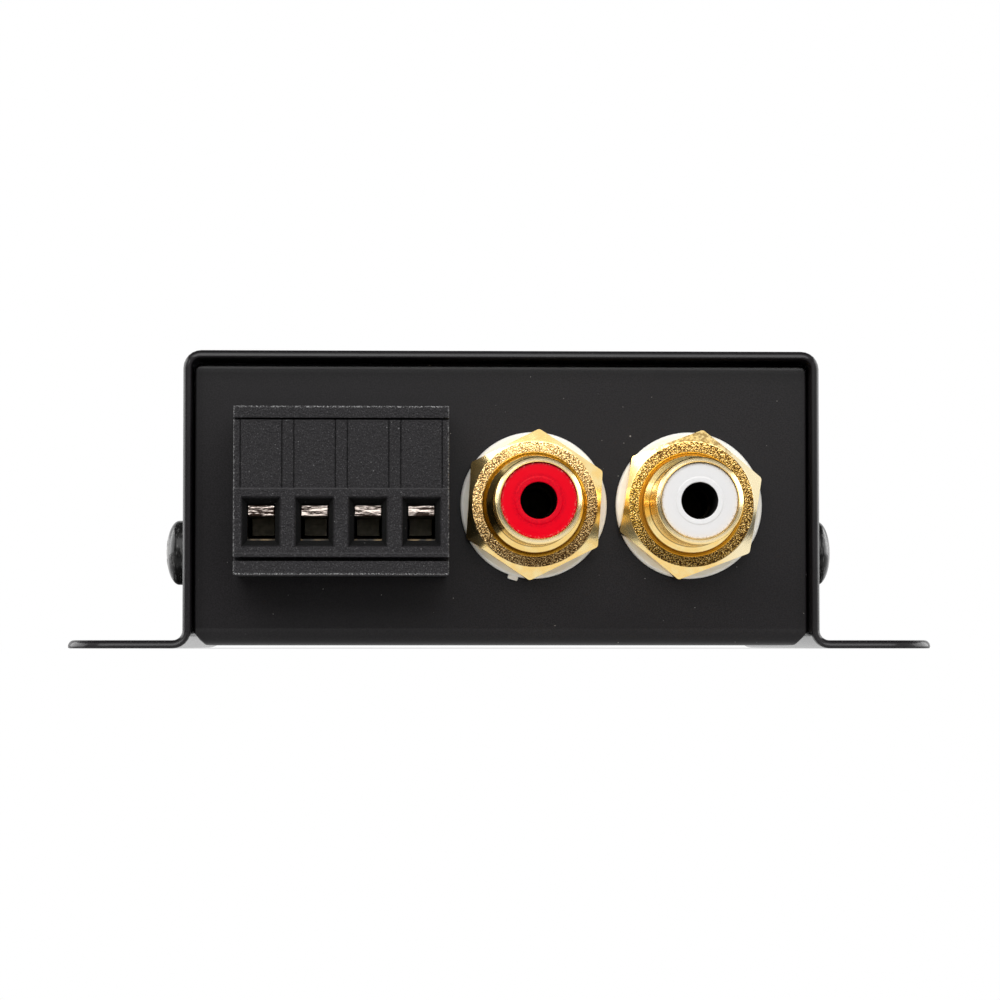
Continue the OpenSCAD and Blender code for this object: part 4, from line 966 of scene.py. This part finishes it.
# %% Gold finishes
JACK_MID = sum(JACK_XS) / 2
JACK_SIDE = (JACK_XS[1] - JACK_XS[0]) / 2
NUT_FACE = 3.5
SLEEVE_FRONT = 12.5
RED_JACK_THREAD = (0.66, 0.47, 0.14)


def about_jack(finish):
    """Across, up, distance from the axis, and distance out from the panel, the same at all four jacks."""
    x, y, z = finish.axes()
    across = abs(x - JACK_MID) - JACK_SIDE
    up = z - JACK_Z
    return across, up, (across * across + up * up) ** 0.5, abs(y) - PANEL


def on_white_jacks(finish):
    """1 on the white jacks and 0 on the red ones."""
    return finish.axes()[0].rising(JACK_MID - 0.1, JACK_MID + 0.1)


def gold_sleeve():
    gold = Finish("gold_sleeve", (0.95, 0.71, 0.30), 0.2, {"Metallic": 1.0})
    _, _, radius, out = about_jack(gold)
    white_jack = on_white_jacks(gold)
    lathe = gold.noise(0.09, 2.0, 0.6, gold.joined(radius, out, 0))
    rim = out.rising(SLEEVE_FRONT - 0.4, SLEEVE_FRONT - 0.15)
    thread = out.rising(4.3, 4.15)
    # Painted shade: a dark line in the corner at the foot of the shoulder's chamfer.
    painted_corner_shade = out.within(4.7, 5.0, 0.1) * radius.rising(4.25, 4.17)
    tone = gold.blend(gold.noise(1.3, 3.0).rising(0.42, 0.66), (0.95, 0.67, 0.24), (0.94, 0.73, 0.33))
    # Painted highlight: the rim is made paler cream. Towards the mouth it turns darker orange, and lathe
    # marks cross it in brown.
    tone = gold.blend(rim, tone, (0.96, 0.79, 0.48))
    tone = gold.blend(rim * radius.rising(3.80, 3.70) * 0.8, tone, (0.74, 0.44, 0.10))
    tone = gold.blend(rim * lathe.rising(0.56, 0.66) * 0.7, tone, (0.36, 0.22, 0.07))
    tone = gold.blend(painted_corner_shade * 0.8, tone, (0.20, 0.11, 0.03))
    # The thread behind the shoulder is darker gold on the red jacks. On the white jacks it is orange and
    # partly non-metallic, a painted glow of light bounced in the groove.
    tone = gold.blend(thread, tone, gold.blend(white_jack, RED_JACK_THREAD, (0.88, 0.58, 0.10)))
    gold.give("Metallic", 1 - thread * white_jack * 0.25)
    return gold.made(tone, 0.1 + lathe * 0.14 + rim * 0.1, (lathe, 0.012), (gold.noise(0.25, 2.0), 0.004))


def gold_nut():
    gold = Finish("gold_nut", (0.92, 0.68, 0.30), 0.25, {"Metallic": 1.0})
    across, up, radius, out = about_jack(gold)
    white_jack = on_white_jacks(gold)
    face = out.rising(NUT_FACE - 0.2, NUT_FACE - 0.16) * radius.within(5.08, 6.08, 0.03)
    sink = radius.rising(5.06, 5.0)
    grit = gold.noise(0.125, 1.0, 0.7)
    rings = gold.noise(0.14, 2.0, 0.5, gold.joined(radius, 0, 0))
    rubbed = gold.noise(2.6, 2.0).rising(0.35, 0.6)
    # Painted shade: the face's lower inner side is made browner.
    under = (up + across).rising(2.5, -6.0)
    # Painted shade: fewer bright specks and more dark ones underneath and on the white nuts' inner side.
    painted_shade = under.most(white_jack * across.rising(-5.0, -3.5) * 1.3)
    # Painted shade: the white nuts' tops are darker.
    darker = white_jack * up.rising(3.8, 5.8) * gold.noise(0.5, 3.0, 0.7).rising(0.42, 0.58)
    tone = gold.blend(gold.noise(1.5, 3.0).rising(0.4, 0.66), (0.94, 0.66, 0.25), (0.93, 0.74, 0.36))
    # Painted highlight: the white nuts' outer side is made paler.
    tone = gold.blend(white_jack * across.rising(1.5, 5.0), tone, (0.93, 0.80, 0.52))
    tone = gold.blend(darker * 0.8, tone, (0.32, 0.19, 0.05))
    ground = gold.blend(rings.rising(0.36, 0.62), (0.62, 0.36, 0.12), (0.86, 0.58, 0.24))
    ground = gold.blend(under * 0.55, ground, (0.30, 0.16, 0.045))
    yellow = gold.blend(across.rising(-4.0, -5.5), (0.50, 0.29, 0.05), (0.80, 0.48, 0.07))
    ground = gold.blend(white_jack * 0.85, ground, yellow)
    dark = grit.rising(0.47, 0.53) * (0.5 + rubbed.most(painted_shade) * 0.45)
    ground = gold.blend(dark, ground, (0.07, 0.033, 0.009))
    ground = gold.blend(grit.rising(0.43, 0.38) * (0.75 - painted_shade * 0.3), ground, (0.97, 0.78, 0.44))
    # The countersink is darker gold on the red jacks. On the white jacks it is orange and partly
    # non-metallic, a painted glow of light bounced in the groove.
    cone = gold.blend(rings.rising(0.4, 0.6), (0.50, 0.30, 0.04), (0.95, 0.66, 0.13))
    tone = gold.blend(sink, gold.blend(face, tone, ground), gold.blend(white_jack, RED_JACK_THREAD, cone))
    gold.give("Metallic", 1 - sink * white_jack * 0.3)
    return gold.made(tone, 0.14 + grit * 0.06 + face * 0.08,
                     (grit, 0.004), (face * grit, 0.03), (face * rings, 0.004))


GOLD_SLEEVE = gold_sleeve()
GOLD_NUT = gold_nut()

# %% [markdown]
# ## Jack plastics
# The insulators are smooth mouldings with a pale, slightly proud lip round the socket and handling marks at
# the rim. Round the socket and at the outer edge they are painted darker as shade, and the socket's bore is
# painted almost black as shade. The washers are plain nylon, a warm off-white that is a little translucent at
# its edge.

# %% Insulator and washer finishes


def insulator(name, colour, lip, shade, mark):
    plastic = Finish(name, colour, 0.34, {"Specular IOR Level": 0.06})
    _, _, radius, out = about_jack(plastic)
    cloud = plastic.noise(0.9, 3.0)
    ring = radius.within(1.85, 2.15, 0.12)
    rim = radius.rising(3.3, 3.55) * plastic.noise(0.2, 3.0, 0.7).rising(0.52, 0.62)
    # Painted shade: the socket's bore is made almost black below the lip.
    bore = radius.rising(1.82, 1.74) * out.rising(12.24, 12.1)
    # Painted shade: darker and mottled round the socket, and a little darker at the outer edge.
    painted_socket_shade = radius.rising(2.75, 2.35) * (0.12 + plastic.noise(0.25, 3.0, 0.7).rising(0.4, 0.6) * 0.3)
    tone = plastic.blend(ring * 0.5 + cloud.rising(0.4, 0.8) * 0.12, colour, lip)
    tone = plastic.blend(painted_socket_shade.most(radius.rising(3.25, 3.5) * 0.3), tone, shade)
    tone = plastic.blend(bore, tone, (0.008, 0.006, 0.006))
    return plastic.made(plastic.blend(rim * 0.7, tone, mark), 0.28 + cloud * 0.14 + rim * 0.2,
                        (plastic.noise(0.3, 2.0), 0.006))


def washer_nylon():
    nylon = Finish("washer_nylon", (0.83, 0.79, 0.71), 0.45,
                   {"Subsurface Weight": 0.08, "Specular IOR Level": 0.35})
    cloud = nylon.noise(1.8, 3.0)
    tone = nylon.blend(cloud.rising(0.35, 0.7), (0.90, 0.86, 0.79), (0.93, 0.905, 0.85))
    return nylon.made(tone, 0.4 + cloud * 0.14, (nylon.noise(0.35, 3.0), 0.01))


RED = insulator("red_plastic", (0.87, 0.001, 0.014), (0.84, 0.008, 0.022), (0.42, 0.001, 0.014),
                (0.85, 0.30, 0.28))
WHITE = insulator("white_plastic", (0.85, 0.845, 0.845), (0.87, 0.865, 0.865), (0.81, 0.80, 0.79),
                  (0.42, 0.33, 0.19))
WASHER = washer_nylon()

# %% [markdown]
# ## Phono jacks
# A jack is a sleeve that the plug's collar grips, an insulator with the pin's socket, a chamfered nut, and
# a nylon washer that keeps the gold off the case. All but the nut are spun outlines of radius, height
# above the panel and corner rounding. The sleeve has a shoulder in front of the nut and a conical mouth.
# The nut is a six-sided bar kept inside a spun ring, which is how a lathe cuts a nut's chamfer. The nuts
# stop at different turns, as the fitter left them.

# %% Jack shapes
SLEEVE = [(3.65, -6.3, 0), (4.5, -6.3, 0.2), (4.5, -3.3, 0), (6.2, -3.3, 0.15), (6.2, -1.8, 0.15),
          (4.5, -1.8, 0), (4.5, 3.58, 0), (4.72, 3.62, 0.04), (4.72, 4.36, 0.1), (4.15, 4.76, 0.05),
          (4.15, SLEEVE_FRONT - 0.36, 0.1), (3.65, SLEEVE_FRONT, 0.03)]
INSULATOR = [(0.79, -6.3, 0), (3.62, -6.3, 0), (3.62, 12.2, 0.14), (2.3, 12.2, 0.03), (2.2, 12.25, 0.03),
             (1.75, 12.25, 0.08), (1.75, 4.0, 0), (2.35, 4.0, 0), (2.35, -3.9, 0), (0.79, -3.9, 0)]
WASHER_RING = [(4.56, -0.74, 0), (5.34, -0.74, 0), (5.34, 0, 0), (7.15, 0, 0.12), (7.15, 1.1, 0.3),
               (4.56, 1.1, 0)]
NUT_LOW, NUT_CORNER, NUT_FLAT_EDGE = 1.1, 12.8 / math.sqrt(3), 0.18
NUT_RING = [(4.54, NUT_LOW, 0), (7.5, NUT_LOW, 0), (7.5, 2.7, 0), (6.1, 3.44, 0.05), (5.05, NUT_FACE, 0.05),
            (4.54, 2.99, 0)]
NUT_TURNS = {"output_right": 26.3, "output_left": 20.6, "input_right": 12.0, "input_left": 41.0}
NUB_ANGLE, NUB = math.radians(254), ((6.5, -0.5, 0.15), (7.55, 0.5, 0.9))
NUB_EDGE = 0.12


def at_end(x, z, end):
    """Turns a shape that stands on Z to stand on an end panel: end is -1 at the plug, 1 at the rear."""
    upright = turn("X", math.pi / 2)
    return at(x, end * PANEL, z) @ (turn("Z", math.pi) @ upright if end > 0 else upright)


def hex_bar(corner, low, high, degrees, edge):
    """A six-sided bar with its edges a little blunted, turned by so many degrees."""
    made = rod(corner, low, high, steps=6)
    made = softened(made, edge, chosen=lambda e: abs(e.verts[0].co.z - e.verts[1].co.z) > (high - low) / 2)
    return moved(made, turn("Z", math.radians(degrees - 30)))


def jack_nut(degrees):
    hexagon = hex_bar(NUT_CORNER, NUT_LOW - INTO, NUT_FACE + INTO, degrees, NUT_FLAT_EDGE)
    return punched(hexagon, turned(NUT_RING), "INTERSECT")


def washer(with_nub):
    made = turned(WASHER_RING)
    if with_nub:
        made = punched(made, moved(softened(block(*NUB), NUB_EDGE), turn("Z", NUB_ANGLE)), "UNION")
    return made


for jack, degrees in NUT_TURNS.items():
    is_red = jack.endswith("right")
    place = at_end(JACK_XS[0 if is_red else 1], JACK_Z, -1 if jack.startswith("output") else 1)
    piece(f"{jack}_shell", moved(turned(SLEEVE), place), GOLD_SLEEVE, f"{jack}_sleeve")
    piece(f"{jack}_core", moved(turned(INSULATOR), place), RED if is_red else WHITE, f"{jack}_insulator")
    piece(f"{jack}_hexnut", moved(jack_nut(degrees), place), GOLD_NUT, f"{jack}_nut")
    piece(f"{jack}_ring", moved(washer(jack == "output_right"), place), WASHER, f"{jack}_washer")

# %% [markdown]
# ## Level control
# The far end isn't in the photograph. It carries a level knob, as many such amplifiers do, held
# by a nut and a washer. The knob is a spun cup whose flutes are cut by a ring of rods. Its pointer is a
# painted bar let into the face.

# %% Knob, pointer, nut and washer
knob_low, knob_high = span("level_knob")
KNOB_HIGH, KNOB_LOW = knob_high.y - PANEL, knob_low.y - PANEL
KNOB_OUT, HOOD, HOOD_ROOF = 6.5, 3.8, 5.3
SHAFT_BORE, SHAFT_END, SHAFT_FLAT = 3.02, 11.1, ((-4, 1.52, 0), (4, 8, 20))
FLUTES, FLUTE, FLUTE_AT, FLUTE_EDGE = 18, 0.55, 6.7, 0.12
POINTER_FIT, POINTER_EDGE = 0.02, 0.06
LEVEL_RING = [(3.56, 0, 0), (5.75, 0, 0.05), (5.75, 0.5, 0.12), (3.56, 0.5, 0.05)]
LEVEL_NUT = [(3.54, 0.5, 0), (5.9, 0.5, 0), (5.9, 2.06, 0), (4.9, 2.5, 0.05), (4.0, 2.5, 0.04),
             (3.54, 2.1, 0)]
LEVEL_NUT_CORNER, LEVEL_NUT_HIGH, LEVEL_NUT_EDGE = 10 / math.sqrt(3), 3, 0.12


def moulded(name, colour, roughness, grain, depth):
    """A moulded plastic with a soft cloud in its tone and a fine skin."""
    plastic = Finish(name, colour, roughness, {"Specular IOR Level": 0.4})
    cloud = plastic.noise(2.2, 3.0)
    light = tuple(min(1.0, c * 1.35 + 0.004) for c in colour)
    return plastic.made(plastic.blend(cloud.rising(0.35, 0.75), colour, light), roughness + cloud * 0.12,
                        (plastic.noise(grain, 2.0), depth))


KNOB_PLASTIC = moulded("knob_plastic", (0.02, 0.02, 0.021), 0.42, 0.2, 0.012)
POINTER_WHITE = moulded("pointer_white", (0.70, 0.70, 0.70), 0.4, 0.3, 0.008)
level_place = at_end(LEVEL_X, LEVEL_Z, 1)

knob = turned([(0, HOOD_ROOF, 0), (HOOD, HOOD_ROOF, 0), (HOOD, KNOB_LOW, 0.1), (KNOB_OUT, KNOB_LOW, 0.25),
               (KNOB_OUT, KNOB_HIGH, 0.9), (0, KNOB_HIGH, 0)])
flutes = [moved(rod(FLUTE, KNOB_LOW - PAST, KNOB_HIGH + PAST, steps=20),
                turn("Z", (k + 0.5) * 2 * math.pi / FLUTES) @ at(FLUTE_AT)) for k in range(FLUTES)]
knob = softened(punched(knob, gathered(flutes)), FLUTE_EDGE)
knob = punched(knob, punched(rod(SHAFT_BORE, HOOD_ROOF - INTO, SHAFT_END), block(*SHAFT_FLAT)))
point_low, point_high = span("knob_pointer")
seat = slab((LEVEL_X - point_high.x - POINTER_FIT, LEVEL_X - point_low.x + POINTER_FIT),
            (point_low.z - LEVEL_Z - POINTER_FIT, point_high.z - LEVEL_Z + POINTER_FIT),
            (point_low.y - PANEL, KNOB_HIGH + PAST))
piece("fluted_knob", moved(punched(knob, seat), level_place), KNOB_PLASTIC, "level_knob")
piece("pointer_bar", softened(block(point_low, point_high), POINTER_EDGE), POINTER_WHITE, "knob_pointer")
piece("level_ring", moved(turned(LEVEL_RING, steps=64), level_place), ZINC, "level_washer")
level_hex = hex_bar(LEVEL_NUT_CORNER, 0, LEVEL_NUT_HIGH, 0, LEVEL_NUT_EDGE)
level_hex = punched(level_hex, turned(LEVEL_NUT, steps=64), "INTERSECT")
piece("level_hexnut", moved(level_hex, level_place), ZINC, "level_nut")

# %% [markdown]
# ## Power lamp
# A small green lamp beside the knob shows that power is on. Its lens is a spun outline with a large corner
# rounding for the dome, and its two leads run back and down to the board. Some transmission lets it glow.

# %% Lamp
LAMP_LENS = [(0, -3.4, 0), (1.9, -3.4, 0.1), (1.9, -2.4, 0.1), (1.5, -2.4, 0), (1.5, 1.6, 1.45), (0, 1.6, 0)]
LEAD_HALF, LEAD_SIDE, LEAD_BACK, LEAD_FRONT, LEAD_TOP = 0.25, 1.27, -5.4, -3.2, 0.1
LEAD_FOOT = span("power_lamp")[0].z - LAMP_Z


def lamp_lens():
    lens = Finish("lamp_lens", (0.08, 0.55, 0.16), 0.12, {"Transmission Weight": 0.35, "IOR": 1.5})
    swirl = lens.noise(0.7, 2.0)
    return lens.made(lens.blend(swirl, (0.06, 0.50, 0.13), (0.13, 0.62, 0.22)), 0.08 + swirl * 0.1)


lens = turned(LAMP_LENS, steps=48)
for sx in BOTH:
    x = about(sx * LEAD_SIDE, LEAD_HALF)
    straight = slab(x, about(0, LEAD_HALF), (LEAD_BACK - LEAD_HALF, LEAD_FRONT))
    drop = slab(x, (LEAD_FOOT, LEAD_TOP), about(LEAD_BACK, LEAD_HALF))
    lens = punched(lens, punched(straight, drop, "UNION"), "UNION")
piece("lamp_lens", moved(lens, at_end(LAMP_X, LAMP_Z, 1)), lamp_lens(), "power_lamp")

# %% [markdown]
# ## Inside
# The board and its parts show only through the gaps, so their solids stay and take a finish each by the
# record's slot. The board's solder mask hides copper tracks that read as slightly paler lines.

# %% Inner finishes


def lanes(finish, place, width):
    """0 on lines that lie two widths apart along place, rising to width between them."""
    return finish.node("ShaderNodeMath", {"operation": "PINGPONG"}, {0: place, 1: width})


def solder_mask():
    mask = Finish("board", (0.015, 0.11, 0.04), 0.35, {"Specular IOR Level": 0.5})
    track = lanes(mask, mask.axes()[0] + mask.noise(6.0, 0.0) * 5, 1.27).rising(0.32, 0.22)
    tone = mask.blend(track, (0.012, 0.095, 0.034), (0.03, 0.19, 0.075))
    return mask.made(tone, 0.3 + mask.noise(0.8) * 0.14, (track, 0.03))


def banded_coat():
    coat = Finish("resistor_coat", (0.45, 0.30, 0.18), 0.4, {"Specular IOR Level": 0.4})
    band = lanes(coat, coat.axes()[0], 0.55).rising(0.2, 0.14) * coat.noise(1.7, 0.0).rising(0.45, 0.5)
    tone = coat.blend(band, (0.46, 0.31, 0.19), (0.22, 0.05, 0.03))
    return coat.made(tone, 0.34 + coat.noise(0.4) * 0.15)


INNER = {
    "board": solder_mask(),
    "plated_steel": ZINC,
    "tinned_metal": plated("tinned_pin", (0.74, 0.72, 0.69), (0.62, 0.59, 0.55), 0.28),
    "gold_plate": plated("spring_bronze", (0.045, 0.034, 0.022), (0.02, 0.016, 0.011), 0.5),
    "terminal_plastic": moulded("black_moulding", (0.018, 0.018, 0.018), 0.5, 0.2, 0.02),
    "washer_plastic": WASHER,
    "chip_plastic": moulded("chip_plastic", (0.022, 0.022, 0.024), 0.5, 0.12, 0.012),
    "capacitor_sleeve": moulded("capacitor_sleeve", (0.03, 0.045, 0.19), 0.3, 0.5, 0.006),
    "film_box": moulded("film_box", (0.42, 0.02, 0.02), 0.3, 0.6, 0.006),
    "ferrite": moulded("ferrite", (0.07, 0.07, 0.075), 0.55, 0.15, 0.02),
    "resistor_coat": banded_coat(),
}
kept = [name for name, node in nodes.items() if not node.hide_render]
for name in kept:
    nodes[name].data.materials.clear()
    nodes[name].data.materials.append(INNER[slot_of[name]])
print("solids that stay:", len(kept))
